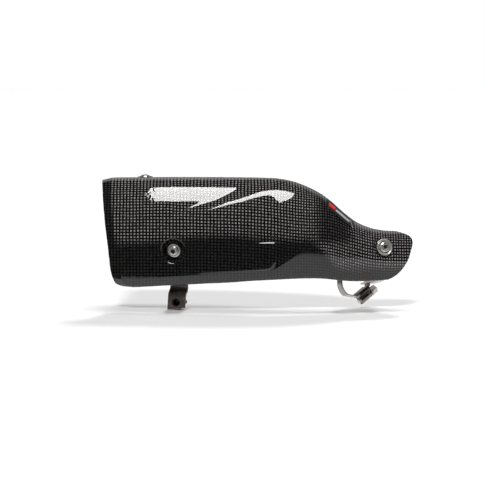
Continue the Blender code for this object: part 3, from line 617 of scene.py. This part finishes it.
def carbon_material():
    material, graph, shader = new_material("carbon_weave")
    u, v, _ = graph.split(graph.add("ShaderNodeUVMap", uv_map="weave"))
    u_mm, v_mm = u * UV_SCALE, v * UV_SCALE
    # slight wander of the tows
    wander_u = graph.noise(graph.combine(u_mm * 0.05, v_mm * 0.05), detail=1.0)
    wander_v = graph.noise(graph.combine(v_mm * 0.07, u_mm * 0.04, 7.0), detail=1.0)
    tows_u = u_mm / PITCH_U + wander_u * 0.35
    tows_v = v_mm / PITCH_V + wander_v * 0.35
    cell_u = graph.math("FRACT", tows_u) - 0.5
    cell_v = graph.math("FRACT", tows_v) - 0.5
    count_u, count_v = graph.math("FLOOR", tows_u), graph.math("FLOOR", tows_v)
    parity = graph.math("FLOORED_MODULO", count_u + count_v, 2.0)
    # across and along the tow that lies on top
    across, along = graph.blend(parity, cell_u, cell_v), graph.blend(parity, cell_v, cell_u)
    # crown of that tow: rounded across, diving under its neighbours at both ends
    crown = (graph.smooth(abs(across), low=0.33, high=0.13)
             * graph.smooth(abs(along), low=0.34, high=0.15))
    # fibres: fine streaks along the top tow
    fine, coarse = 26.0, 1.3
    streak_u = graph.noise(graph.combine(tows_u * fine, tows_v * coarse, 3.0))
    streak_v = graph.noise(graph.combine(tows_u * coarse, tows_v * fine, 9.0))
    fibre = graph.blend(parity, streak_v, streak_u)
    random = graph.add("ShaderNodeTexWhiteNoise", {"Vector": graph.combine(count_u, count_v)},
                       "Value", noise_dimensions="2D")
    vary = graph.remap(random, span=(0, 1), to=(0.75, 1.2))
    # the crowns' bright dots are a painted highlight over the weave's own pattern, a little dimmer
    # on every other tow
    shine = (crown * vary * graph.remap(fibre, span=FIBRE_SPAN, to=(0.7, 1.25))
             * graph.blend(parity, 1.0, 0.85))
    # crown colour: painted light on the upper faces, painted shade on the lower panel, rear lip and
    # hollow
    tow = graph.mix(painted_light_share(graph), SHADED_CROWN, LIT_CROWN)
    body = (graph.smooth(abs(across), low=0.49, high=0.42)
            * graph.remap(abs(along), span=(0.2, 0.5), to=(1.0, 0.35)))
    body = body * graph.remap(fibre, span=FIBRE_SPAN, to=(0.6, 1.3))
    colour = graph.mix(shine, graph.mix(body, RESIN, BODY), tow)
    # inside face: plain resin-rich laminate, duller
    outside = graph.smooth(graph.attribute("outside"), low=0.75, high=0.95)
    cloth = graph.noise(graph.combine(u_mm * 0.6, v_mm * 0.6, 2.0), detail=4.0)
    # the inside face's crowns carry the same painted highlight, fainter
    inner = graph.mix(shine, INNER_RESIN, INNER_TOW)
    inner = graph.mix(graph.remap(cloth, span=(0.3, 0.75), to=(0.0, 0.5)), inner, INNER_CLOUD)
    rough = graph.remap(fibre, span=(0.2, 0.8), to=(0.40, 0.48))
    # the clear coat is nearly flat, with faint orange peel
    peel = graph.noise(graph.combine(u_mm, v_mm), scale=0.22, detail=1.0)
    graph.feed(shader, {
        "Base Color": graph.mix(outside, inner, colour),
        "Metallic": graph.blend(outside, 0.1, 0.0),
        "Specular IOR Level": graph.blend(outside, 0.5, shine * 0.10),
        "Roughness": graph.blend(outside, 0.6, rough),
        "Coat Weight": graph.blend(outside, 0.15, 1.0),
        "Coat Roughness": graph.blend(outside, 0.35, 0.018),
        "Coat IOR": 1.5,
        "Normal": tow_normal(graph, cell_u, cell_v, parity, fibre),
        "Coat Normal": graph.bump(peel, strength=0.04, distance=0.001)})
    return material


# ------------------------------------------------------------------ steel, rubber and badge film
def metal(name, colour, rough, metallic=1.0, tint=None, stain=None):
    """Steel with fine scratches, handling smudges and slight colour drift."""
    material, graph, shader = new_material(name)
    place = graph.place()
    stretched = graph.add("ShaderNodeMapping", {0: place, "Scale": (900, 160, 900)})
    scratch = graph.noise(stretched, detail=3.0, rough=0.6)
    smudge = graph.noise(place, scale=70.0, detail=3.0)
    tint = tint or tuple(c * 0.82 for c in colour)
    base = graph.mix(graph.remap(smudge, span=(0.35, 0.7)), colour, tint)
    if stain:
        spots = graph.noise(place, scale=190.0, detail=4.0, rough=0.65)
        base = graph.mix(graph.smooth(spots, low=0.5, high=0.68), base, stain)
    wear = scratch * 0.5 + smudge * 0.5
    graph.feed(shader, {
        "Base Color": base,
        "Metallic": metallic,
        "Roughness": graph.remap(wear, span=(0.3, 0.7), to=(rough * 0.75, rough * 1.35)),
        "Normal": graph.bump(scratch, strength=0.12, distance=0.00008)})
    return material


def turned_metal(name, colour, axis, socket, shade_ring):
    """Steel turned about a fixing's axis: rings, a painted shade ring and painted shade in the
    socket (radii in mm).
    """
    material = metal(name, colour, rough=0.26, metallic=0.6)
    graph = Graph(material.node_tree)
    shader = material.node_tree.nodes["Principled BSDF"]
    plain = shader.inputs["Base Color"].links[0].from_socket
    centre = (axis.translation - Vector(CENTRE)) * MM
    from_axis = graph.vector("SUBTRACT", graph.place(), tuple(centre))
    x, y = (graph.vector("DOT_PRODUCT", from_axis, tuple(axis.col[i][:3]), output="Value") * 1000.0
            for i in (0, 1))
    radius = graph.math("SQRT", x * x + y * y)
    rings = graph.noise(graph.combine(radius * 7.0, 0.0))
    tone = graph.remap(rings, span=(0.3, 0.7), to=(0.78, 1.1))
    # painted shade ring round the axis
    tone = tone * (1.0 - graph.smooth(abs(radius - shade_ring), low=0.5, high=0.2) * 0.7)
    # painted shade inside the socket
    past_socket = graph.smooth(radius, low=socket - 0.15, high=socket + 0.15)
    tone = tone * graph.remap(past_socket, span=(0, 1), to=(0.12, 1.0))
    shaded = graph.add("ShaderNodeMix", {
        "Factor": 1.0, "A": plain, "B": graph.combine(tone, tone, tone)}, "Result",
        data_type="RGBA", blend_type="MULTIPLY")
    graph.feed(shader, {"Base Color": shaded})
    return material


def rubber_material():
    material, graph, shader = new_material("mount_rubber")
    place = graph.place()
    grain = graph.noise(place, scale=1400.0, detail=3.0)
    dust = graph.smooth(graph.noise(place, scale=120.0, detail=3.0), low=0.45, high=0.75)
    black, dusty = (0.011, 0.011, 0.011), (0.03, 0.029, 0.028)
    graph.feed(shader, {
        "Base Color": graph.mix(dust, black, dusty),
        "Roughness": graph.remap(grain, span=(0.3, 0.7), to=(0.62, 0.82)),
        "Normal": graph.bump(grain, strength=0.25, distance=0.0001)})
    return material


BADGE_X, BADGE_HEIGHT = 72.4, 40.1          # where the badge's marks are measured from, mm
BADGE_COS, BADGE_SIN = 0.766, 0.643         # its slope, falling towards the front
# red block, grey bar and short stripe:
# (start, end) along the badge, (bottom, top) across it, slant of the ends, colour
BADGE_MARKS = [
    ((0.4, 8.2), (-2.5, 0.5), 0.35, (0.62, 0.018, 0.014)),
    ((9.2, 27.0), (-2.5, -0.45), 0.35, (0.40, 0.40, 0.41)),
    ((27.6, 28.3), (-9.0, 0.6), 1.4, (0.45, 0.45, 0.45))]


def badge_material():
    """Satin black foil with the three plain marks."""
    material, graph, shader = new_material("badge_film")
    x, y, z = graph.split(graph.place())
    x = x * 1000.0 - (BADGE_X - float(CENTRE[0]))
    height = z * 1000.0 + y * (1000.0 * TILT)
    height = height - (BADGE_HEIGHT - float(CENTRE[2]) - float(CENTRE[1]) * TILT)
    along = x * BADGE_COS - height * BADGE_SIN
    across = x * BADGE_SIN + height * BADGE_COS

    def within(value, start, end, blur=0.1):
        return (graph.smooth(value, low=start - blur, high=start + blur)
                * graph.smooth(value, low=end + blur, high=end - blur))

    grain = graph.noise(graph.place(), scale=900.0, detail=3.0)
    base = graph.mix(graph.remap(grain, span=(0.3, 0.7)),
                     (0.008, 0.008, 0.0085), (0.016, 0.016, 0.0165))
    for length, width, slant, colour in BADGE_MARKS:
        mask = within(along + across * slant, *length) * within(across, *width)
        base = graph.mix(mask, base, colour)
    graph.feed(shader, {
        "Base Color": base,
        "Roughness": graph.remap(grain, span=(0.3, 0.7), to=(0.38, 0.52)),
        "Normal": graph.bump(grain, strength=0.1, distance=0.00003)})
    return material


def make_looks():
    """The carbon, and the material of every other node by its name."""
    carbon = carbon_material()
    looks = {}
    # node, material, colour, frame, radii of the socket and the painted shade ring
    for node, name, colour, axis, socket, shade_ring in (
            ("rear_side_bolt", "rear_bolt_steel", (0.62, 0.60, 0.585), rear_frame, 2.4, 5.0),
            ("front_bolt", "front_bolt_steel", (0.64, 0.62, 0.60), front_frame, 2.2, 3.6),
            # the top bolt and top washer are darker copies of the same steels: painted shade
            ("top_bolt", "top_bolt_steel", (0.40, 0.385, 0.37), top_frame, 2.2, 3.6),
            ("front_cup_washer", "front_washer_steel", (0.68, 0.66, 0.64), front_frame, 2.2, 5.6),
            ("top_cup_washer", "top_washer_steel", (0.38, 0.365, 0.35), top_frame, 2.2, 5.6)):
        looks[node] = turned_metal(name, colour, axis, socket, shade_ring)
    plain = metal("plain_steel", (0.45, 0.44, 0.43), rough=0.38)
    bracket = metal("bracket_steel", (0.60, 0.57, 0.54), rough=0.30, metallic=0.88,
                    tint=(0.50, 0.43, 0.36))
    clamp = metal("clamp_steel", (0.30, 0.285, 0.27), rough=0.24, metallic=0.95,
                  tint=(0.17, 0.145, 0.13))
    screw = metal("screw_steel", (0.55, 0.53, 0.52), rough=0.24, metallic=0.85)
    tinted = metal("heat_tinted", (0.085, 0.068, 0.060), rough=0.42, metallic=0.6,
                   tint=(0.050, 0.045, 0.043), stain=(0.14, 0.10, 0.08))
    dark_nut = metal("dark_nut", (0.055, 0.053, 0.050), rough=0.45)
    rubber = rubber_material()
    looks.update({
        "rear_side_sleeve": plain, "front_sleeve": plain, "top_spacer": plain,
        "rear_side_grommet": rubber, "front_grommet": rubber, "top_grommet": rubber,
        "rear_bracket": tinted, "rear_bracket_nut": tinted, "rear_tab_nut": dark_nut,
        "front_bracket": bracket, "front_bracket_nut": plain, "clamp_band": clamp,
        "clamp_housing": clamp, "clamp_screw": screw, "badge_plate": badge_material()})
    return carbon, looks


# ------------------------------------------------------------------ turned pieces
ROUND, HEX, THREAD = range(3)      # kinds of row in a turned outline of (radius, z, kind)
CORNER = 0.3                       # rounding of turned corners, mm


def put(name, node, piece, matrix, body="shield", crease=35):
    """A new piece from points in a local frame (mm), riding its body in place of the node."""
    points, faces = piece
    mesh = bpy.data.meshes.new(name)
    mesh.from_pydata(((to_design(np.array(points), matrix) - CENTRE) * MM).tolist(), [], faces)
    mesh.shade_smooth()
    mesh.set_sharp_from_angle(angle=math.radians(crease))
    mesh.materials.append(looks[node])
    mesh.update()
    obj = add_object(name, mesh)
    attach(obj, body)
    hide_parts(node)


def eased(profile, steps=3):
    """Rounds the corners of a turned outline, leaving its ends, threads and tight spots."""
    rows = []
    for k, row in enumerate(profile):
        if k in (0, len(profile) - 1) or row[0] < 1e-6 or row[2] == THREAD:
            rows.append(row)
            continue
        here = np.array(row[:2])
        sides = [np.array(profile[i][:2]) - here for i in (k - 1, k + 1)]
        lengths = [np.linalg.norm(side) for side in sides]
        if min(lengths) < 0.12:
            rows.append(row)
            continue
        start, end = (here + side * min(CORNER, length * 0.45) / length
                      for side, length in zip(sides, lengths))
        for i in range(steps + 1):
            part = i / steps
            point = start * (1 - part) ** 2 + here * 2 * part * (1 - part) + end * part * part
            rows.append((float(point[0]), float(point[1]), row[2]))
    return rows


def lathe(profile, segments=72, closed=False, pitch=1.0, depth=0.4):
    """Points and faces of a turned piece; pitch and depth are those of its threaded rows."""
    angle = np.arange(segments) * math.tau / segments
    hexagon = 1 / np.cos(angle % (math.pi / 3) - math.pi / 6)
    points, rows = [], []
    for radius, z, kind in profile:
        if radius < 1e-6:
            rows.append([len(points)] * segments)
            points.append((0, 0, z))
            continue
        radii = np.full(segments, float(radius))
        if kind == HEX:
            radii = radii * hexagon
        elif kind == THREAD:
            phase = (z / pitch - angle / math.tau) % 1.0
            radii = radii - depth * np.clip(1.25 - 2.5 * np.abs(phase - 0.5), 0, 1)
        rows.append(list(range(len(points), len(points) + segments)))
        points += [(float(r * math.cos(a)), float(r * math.sin(a)), z)
                   for r, a in zip(radii, angle)]
    faces = []
    for i in range(len(rows) if closed else len(rows) - 1):
        low, high = rows[i], rows[(i + 1) % len(rows)]
        for j in range(segments):
            k = (j + 1) % segments
            # dict keys drop the repeated corners where a row is a single point
            loop = list(dict.fromkeys((low[j], high[j], high[k], low[k])))
            if len(loop) > 2:
                faces.append(loop)
    return points, faces


def threaded(radius, top, bottom, step):
    count = int(round((top - bottom) / step))
    return [(radius, top + (bottom - top) * i / count, THREAD) for i in range(count + 1)]


# ------------------------------------------------------------------ bolts and cup washers (mm)
THREAD_R, THREAD_HOLE = 3.0, 3.3    # M6 thread's outer radius and its clearance hole's radius
SOCKET_R, SOCKET_RIM, SOCKET_DEPTH = 2.1, 2.62, 2.0
# outlines of (radius, height over the seat), heads from the top down
FLANGED = [(2.9, 3.5), (4.2, 3.0), (5.0, 2.1), (5.3, 1.2), (6.6, 1.0), (6.85, 0.5), (6.6, 0.0)]
BUTTON = [(2.8, 3.0), (4.2, 2.5), (5.1, 1.5), (5.4, 0.5), (5.3, 0.0)]
# washer's outline of (radius, z), a closed ring
CUP = [(8.0, 4.5), (8.5, 4.2), (8.1, 2.5), (7.4, 2.1), (THREAD_HOLE, 2.1), (THREAD_HOLE, 3.2),
       (6.2, 3.2), (7.1, 3.8)]


def bolt(seat, head, foot):
    """Socket-headed bolt, its head on z = seat and its thread ending at z = foot."""
    top = seat + head[0][1]
    rim = (SOCKET_RIM, top, ROUND)
    profile = [(0, top - SOCKET_DEPTH, ROUND), (SOCKET_R, top - SOCKET_DEPTH, HEX),
               (SOCKET_R, top - 0.25, HEX)]
    profile += eased([rim] + [(r, seat + z, ROUND) for r, z in head]
                     + [(THREAD_R + 0.3, seat, ROUND)])
    profile += [(THREAD_R, seat - 0.2, ROUND)]
    profile += threaded(THREAD_R, top=seat - 2.5, bottom=foot + 0.7, step=0.17)
    return lathe(profile + [(THREAD_R - 0.6, foot, ROUND), (0, foot, ROUND)])


def cup_washer():
    ring = [(r, z, ROUND) for r, z in CUP[-1:] + CUP + CUP[:1]]
    return lathe(eased(ring)[1:-1], segments=96, closed=True)


def build_fixings():
    for end, node, matrix, seat, head, foot in (
            ("rear", "rear_side_bolt", rear_frame, 2.1, FLANGED, -13.0),
            ("front", "front_bolt", front_frame, 3.5, BUTTON, -12.4),
            ("top", "top_bolt", top_frame, 3.5, BUTTON, -22.0)):
        put(end + "_bolt_turned", node, bolt(seat, head, foot), matrix)
    for end, matrix in (("front", front_frame), ("top", top_frame)):
        put(end + "_washer_turned", end + "_cup_washer", cup_washer(), matrix)


# ------------------------------------------------------------------ worm-drive clamp (mm)
CLAMP_R, BAND_THICK = 14.9, 0.8
CLAMP_FLATS = ((-56.0, 11.3), (-101.0, 12.9))   # (direction in degrees, distance from the axis)
BAND_STEPS = 320
# band's section: (distance out from the inner face, place across the width)
BAND_SECTION = [
    (0, -5.75), (0, 5.75), (0.1, 5.93), (0.3, 6.0), (0.5, 6.0), (0.7, 5.93), (0.8, 5.75),
    (0.8, 3.7), (0.8, 3.45), (0.8, -3.45), (0.8, -3.7), (0.8, -5.75), (0.7, -5.93), (0.5, -6.0),
    (0.3, -6.0), (0.1, -5.93)]
NOTCH_ROWS = (8, 9)                             # points of the section that the notches lower
NOTCH_PITCH, NOTCH_DEPTH, NOTCH_ARC = 2.2, 0.42, (4, 150)
CASE_R, BORE_R = 4.4, 3.3
# foot of the case and the slot the band passes through, (x, y)
CASE_FOOT = [
    (-3.5, -4.5), (-7.0, -4.5), (-7.3, -4.8), (-7.3, -7.8), (-7.0, -8.1), (7.0, -8.1), (7.3, -7.8),
    (7.3, -4.8), (7.0, -4.5), (3.5, -4.5)]
CASE_SLOT = [(-6.35, -7.1), (6.35, -7.1), (6.35, -5.5), (-6.35, -5.5)]
# sections along the case: (z, how far the arc is drawn in, whether it is an end face)
CASE_LEVELS = [
    (-7.2, 0.3, True), (-6.9, 0.0, False), (2.6, 0.0, False), (2.9, 0.4, False),
    (4.3, 0.4, False), (4.6, 0.0, False), (6.9, 0.0, False), (7.2, 0.3, True)]
WORM_HEAD = [
    (0, 13.3, ROUND), (1.0, 13.3, ROUND), (1.3, 15.0, ROUND), (3.3, 15.1, ROUND),
    (3.78, 14.9, HEX), (4.0, 14.5, HEX), (4.0, 9.9, HEX), (4.15, 9.6, ROUND), (4.45, 9.6, ROUND),
    (4.6, 9.45, ROUND), (4.6, 8.4, ROUND), (4.4, 8.2, ROUND), (3.0, 8.2, ROUND)]

slot_frame = front_frame @ Matrix.Translation((-4.2, -30.8, -35.3))
clamp_frame = slot_frame @ Matrix.Translation((-CLAMP_R - BAND_THICK / 2, 0, 0))


def worm_place():
    """Frame of the worm's axis, over the first flat."""
    direction, distance = CLAMP_FLATS[0]
    lean = math.radians(direction)
    along = Vector((-math.sin(lean), math.cos(lean), 0))
    radial = Vector((math.cos(lean), math.sin(lean), 0))
    matrix = Matrix((radial.cross(along), radial, along)).transposed().to_4x4()
    matrix.translation = radial * (distance + BAND_THICK + 5.9) + along * 1.3
    return clamp_frame @ matrix


def clamp_band():
    """Band round the clamp's axis, flattened in two places and notched on its outer face."""
    turn = np.arange(BAND_STEPS) * math.tau / BAND_STEPS
    reach = np.full(BAND_STEPS, CLAMP_R)
    for direction, distance in CLAMP_FLATS:
        facing = np.cos(turn - math.radians(direction))
        flat = np.minimum(reach, distance / np.maximum(facing, 0.2))
        reach = np.where(facing > 0.2, flat, reach)
    path = np.stack([reach * np.cos(turn), reach * np.sin(turn)], -1)
    for _ in range(14):
        path = (np.roll(path, 1, 0) + path * 2 + np.roll(path, -1, 0)) / 4
    way = np.roll(path, -1, 0) - np.roll(path, 1, 0)
    way /= np.linalg.norm(way, axis=1, keepdims=True)
    outward = np.stack([way[:, 1], -way[:, 0]], -1)
    run = np.concatenate([[0], np.cumsum(np.linalg.norm(np.diff(path, axis=0), axis=1))])
    degrees = np.degrees(turn)
    points, faces = [], []
    size = len(BAND_SECTION)
    for i in range(BAND_STEPS):
        notched = (NOTCH_ARC[0] < degrees[i] < NOTCH_ARC[1]
                   and run[i] % NOTCH_PITCH < NOTCH_PITCH / 2)
        here, after = i * size, (i + 1) % BAND_STEPS * size
        for k, (out, z) in enumerate(BAND_SECTION):
            if notched and k in NOTCH_ROWS:
                out -= NOTCH_DEPTH
            x, y = path[i] + outward[i] * out
            points.append((x, y, z))
            k_next = (k + 1) % size
            faces.append((here + k, after + k, after + k_next, here + k_next))
    return points, faces


def case_section(z, inset, is_end, arc, bore):
    """One level of the case: arc, foot, bore and slot; end faces have eased edges."""
    points = [(x * (1 - inset / math.hypot(x, y)), y * (1 - inset / math.hypot(x, y)), z)
              for x, y in arc]
    narrow, low, flare = (0.965, 0.9, 1.06) if is_end else (1.0, 1.0, 1.0)
    points += [(x * narrow, -6.3 + (y + 6.3) * low, z) for x, y in CASE_FOOT]
    points += [(x * flare, y * flare, z) for x, y in bore]
    return points + [(x, y, z) for x, y in CASE_SLOT]


def clamp_case():
    """Housing round the worm, with its bore and the band's slot through it."""
    arc_angles = [math.radians(-38 + 256 * i / 48) for i in range(49)]
    arc = [(CASE_R * math.cos(a), CASE_R * math.sin(a)) for a in arc_angles]
    bore_angles = [math.tau * i / 48 for i in range(48)]
    bore = [(BORE_R * math.cos(a), BORE_R * math.sin(a)) for a in bore_angles]
    levels = [case_section(*level, arc, bore) for level in CASE_LEVELS]
    size, bore_start = len(levels[0]), len(arc) + len(CASE_FOOT)
    slot_start = bore_start + len(bore)
    # (first, end, whether the wall faces inward)
    loops = ((0, bore_start, False), (bore_start, slot_start, True), (slot_start, size, True))
    points = [point for level in levels for point in level]
    faces = []
    for low in range(0, size * (len(levels) - 1), size):
        high = low + size
        for start, end, inward in loops:
            for i in range(start, end):
                j = i + 1 if i + 1 < end else start
                face = (low + i, low + j, high + j, high + i)
                faces.append(face[::-1] if inward else face)
    for base, faces_down in ((0, True), (size * (len(levels) - 1), False)):
        outlines = [[Vector((*points[base + i][:2], 0)) for i in range(start, end)]
                    for start, end, _ in loops]
        for triangle in tessellate_polygon(outlines):
            triangle = tuple(base + i for i in triangle)
            first, second, third = (Vector(points[i]) for i in triangle)
            upward = (second - first).cross(third - first).z > 0
            faces.append(triangle if upward != faces_down else triangle[::-1])
    return points, faces


def clamp_worm():
    profile = WORM_HEAD + threaded(3.0, top=8.0, bottom=-7.7, step=0.3)
    return lathe(profile + [(2.5, -8.3, ROUND), (0, -8.3, ROUND)], pitch=2.2, depth=0.55)


def build_clamp():
    worm_frame = worm_place()
    put("clamp_strip", "clamp_band", clamp_band(), clamp_frame, body="clamp")
    put("clamp_case", "clamp_housing", clamp_case(), worm_frame, body="clamp",
        crease=40)
    put("clamp_worm", "clamp_screw", clamp_worm(), worm_frame, body="worm")


# ------------------------------------------------------------------ the plain nodes that stay
EASED_NODES = (
    "rear_bracket", "front_bracket", "rear_tab_nut", "rear_bracket_nut", "front_bracket_nut",
    "rear_side_grommet", "front_grommet", "top_grommet", "rear_side_sleeve", "front_sleeve",
    "top_spacer")


def smooth_bends():
    """Node group that shades smooth across edges below 38 degrees."""
    group = bpy.data.node_groups.new("smooth_bends", "GeometryNodeTree")
    for direction in ("INPUT", "OUTPUT"):
        group.interface.new_socket("Geometry", in_out=direction, socket_type="NodeSocketGeometry")
    new, link = group.nodes.new, group.links.new
    source, result = new("NodeGroupInput"), new("NodeGroupOutput")
    whole, sharp = new("GeometryNodeSetShadeSmooth"), new("GeometryNodeSetShadeSmooth")
    whole.domain, sharp.domain = "FACE", "EDGE"
    corner, below = new("GeometryNodeInputMeshEdgeAngle"), new("FunctionNodeCompare")
    below.data_type, below.operation = "FLOAT", "LESS_THAN"
    below.inputs["B"].default_value = math.radians(38)
    link(corner.outputs["Unsigned Angle"], below.inputs["A"])
    link(source.outputs[0], whole.inputs["Geometry"])
    link(whole.outputs[0], sharp.inputs["Geometry"])
    link(below.outputs["Result"], sharp.inputs["Shade Smooth"])
    link(sharp.outputs[0], result.inputs[0])
    return group


def ease_plain_nodes():
    group = smooth_bends()
    for name in EASED_NODES + ("badge_plate",):
        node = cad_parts[name]
        if name in EASED_NODES:
            bevel = node.modifiers.new("Eased edges", "BEVEL")
            bevel.width, bevel.segments = 0.0003, 2
            bevel.limit_method, bevel.angle_limit = "ANGLE", math.radians(50)
        node.modifiers.new("Smooth bends", "NODES").node_group = group


# ------------------------------------------------------------------ studio (metres)
FLOOR_Z = cad_box[0].z - 0.0002
FLOOR_GLOW, FLOOR_DARK = 1.05, 0.010            # the floor's strength as reflections see it
OVERHEAD_SIZE, OVERHEAD_RADIANCE = (0.494, 0.574), 16.5
# (name, direction the light travels, strength, angle in degrees)
SUNS = (
    ("front_fill", (0.10, 0.72, -0.70), 1.65, 10),
    ("top_fill", (-0.05, -0.20, -1.0), 1.5, 24),
    ("back_fill", (-0.16, -0.78, -0.62), 1.8, 10))
VIEW_DISTANCE, VIEW_WIDTH = 3000.0, 485.0       # mm
VIEW_TARGET = Vector((-14.5, 15.0, -1.3))       # design frame, mm
SENSOR = 36.0


def aim(obj, direction):
    """Turns a light or camera to face along direction."""
    obj.rotation_mode = "QUATERNION"
    obj.rotation_quaternion = Vector(direction).to_track_quat("-Z", "Y")


def floor_material():
    """Pale paper; reflections see it glow, but dark towards the camera and past the rear end."""
    material, graph, shader = new_material("floor_paper")
    tree = material.node_tree
    tree.nodes.remove(shader)
    diffuse = graph.add("ShaderNodeBsdfDiffuse", {"Color": (0.86, 0.86, 0.86, 1)})
    x, y, _ = graph.split(graph.add("ShaderNodeNewGeometry", output="Position"))
    near_camera = graph.smooth(y * -1.0, low=0.096, high=0.110)
    past_rear = graph.smooth(x, low=-0.168, high=-0.186)
    glow = graph.blend(near_camera, FLOOR_GLOW, FLOOR_DARK)
    glossy = graph.add("ShaderNodeEmission",
                       {"Strength": graph.blend(past_rear, glow, FLOOR_DARK)})
    is_glossy = graph.add("ShaderNodeLightPath", output="Is Glossy Ray")
    mixed = graph.add("ShaderNodeMixShader", {0: is_glossy, 1: diffuse, 2: glossy})
    graph.feed(tree.nodes["Material Output"], {"Surface": mixed})
    return material


def build_floor():
    grid = bmesh.new()
    bmesh.ops.create_grid(grid, x_segments=1, y_segments=1, size=6.0)
    mesh = bpy.data.meshes.new("floor")
    grid.to_mesh(mesh)
    grid.free()
    floor = add_object("floor", mesh)
    floor.location = (0, 0, FLOOR_Z)
    mesh.materials.append(floor_material())


def build_world():
    """White to the camera; reflections see a dim room with a low pale sweep behind the object."""
    world = bpy.data.worlds.new("studio")
    bpy.context.scene.world = world
    world.use_nodes = True
    graph = Graph(world.node_tree)
    path = graph.node("ShaderNodeLightPath").outputs
    _, y, z = graph.split(graph.add("ShaderNodeTexCoord", output="Generated"))
    behind = (graph.smooth(y, low=0.3, high=0.6)
              * (1.0 - graph.smooth(z, low=0.52, high=0.72)))
    dim, sweep, ambient, white = 0.018, 0.36, 0.07, 1.0
    room = graph.blend(behind, dim, sweep)
    unseen = graph.blend(path["Is Glossy Ray"], ambient, room)
    graph.feed(world.node_tree.nodes["Background"], {
        "Strength": graph.blend(path["Is Camera Ray"], unseen, white),
        "Color": (1, 1, 1, 1)})


def build_lights():
    light = bpy.data.lights.new("overhead", "AREA")
    light.shape = "RECTANGLE"
    light.size, light.size_y = OVERHEAD_SIZE
    light.energy = OVERHEAD_RADIANCE * math.pi * light.size * light.size_y
    light.energy = OVERHEAD_RADIANCE * math.pi * OVERHEAD_SIZE[0] * OVERHEAD_SIZE[1]
    light.color = (1.0, 0.972, 0.976)
    overhead = add_object("overhead", light)
    overhead.location = (-0.0624, -0.2317, 0.86)
    overhead.rotation_euler = (0, 0, math.radians(-10.7))
    overhead.visible_diffuse = False
    for name, direction, strength, angle in SUNS:
        light = bpy.data.lights.new(name, "SUN")
        light.energy, light.angle = strength, math.radians(angle)
        sun = add_object(name, light)
        aim(sun, direction)
        sun.visible_glossy = False


def build_camera():
    lens = bpy.data.cameras.new("camera")
    lens.sensor_width = SENSOR
    lens.lens = SENSOR * VIEW_DISTANCE / VIEW_WIDTH
    lens.clip_start, lens.clip_end = 0.05, 50
    camera = add_object("camera", lens)
    target = (VIEW_TARGET - Vector(CENTRE)) * MM
    away = Vector((0, -math.cos(VIEW_PITCH), math.sin(VIEW_PITCH)))
    camera.location = target + away * (VIEW_DISTANCE * MM)
    aim(camera, target - camera.location)
    bpy.context.scene.camera = camera


# ------------------------------------------------------------------ build
carbon, looks = make_looks()
skin = build_shell()
skin.data.materials.append(carbon)
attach(skin, "shield")
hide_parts("carbon_shell")
for name, look in looks.items():
    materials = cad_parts[name].data.materials
    materials.clear()
    materials.append(look)
build_fixings()
build_clamp()
ease_plain_nodes()

view = bpy.context.scene.view_settings
view.view_transform, view.look = "Standard", "None"
build_floor()
build_world()
build_lights()
build_camera()
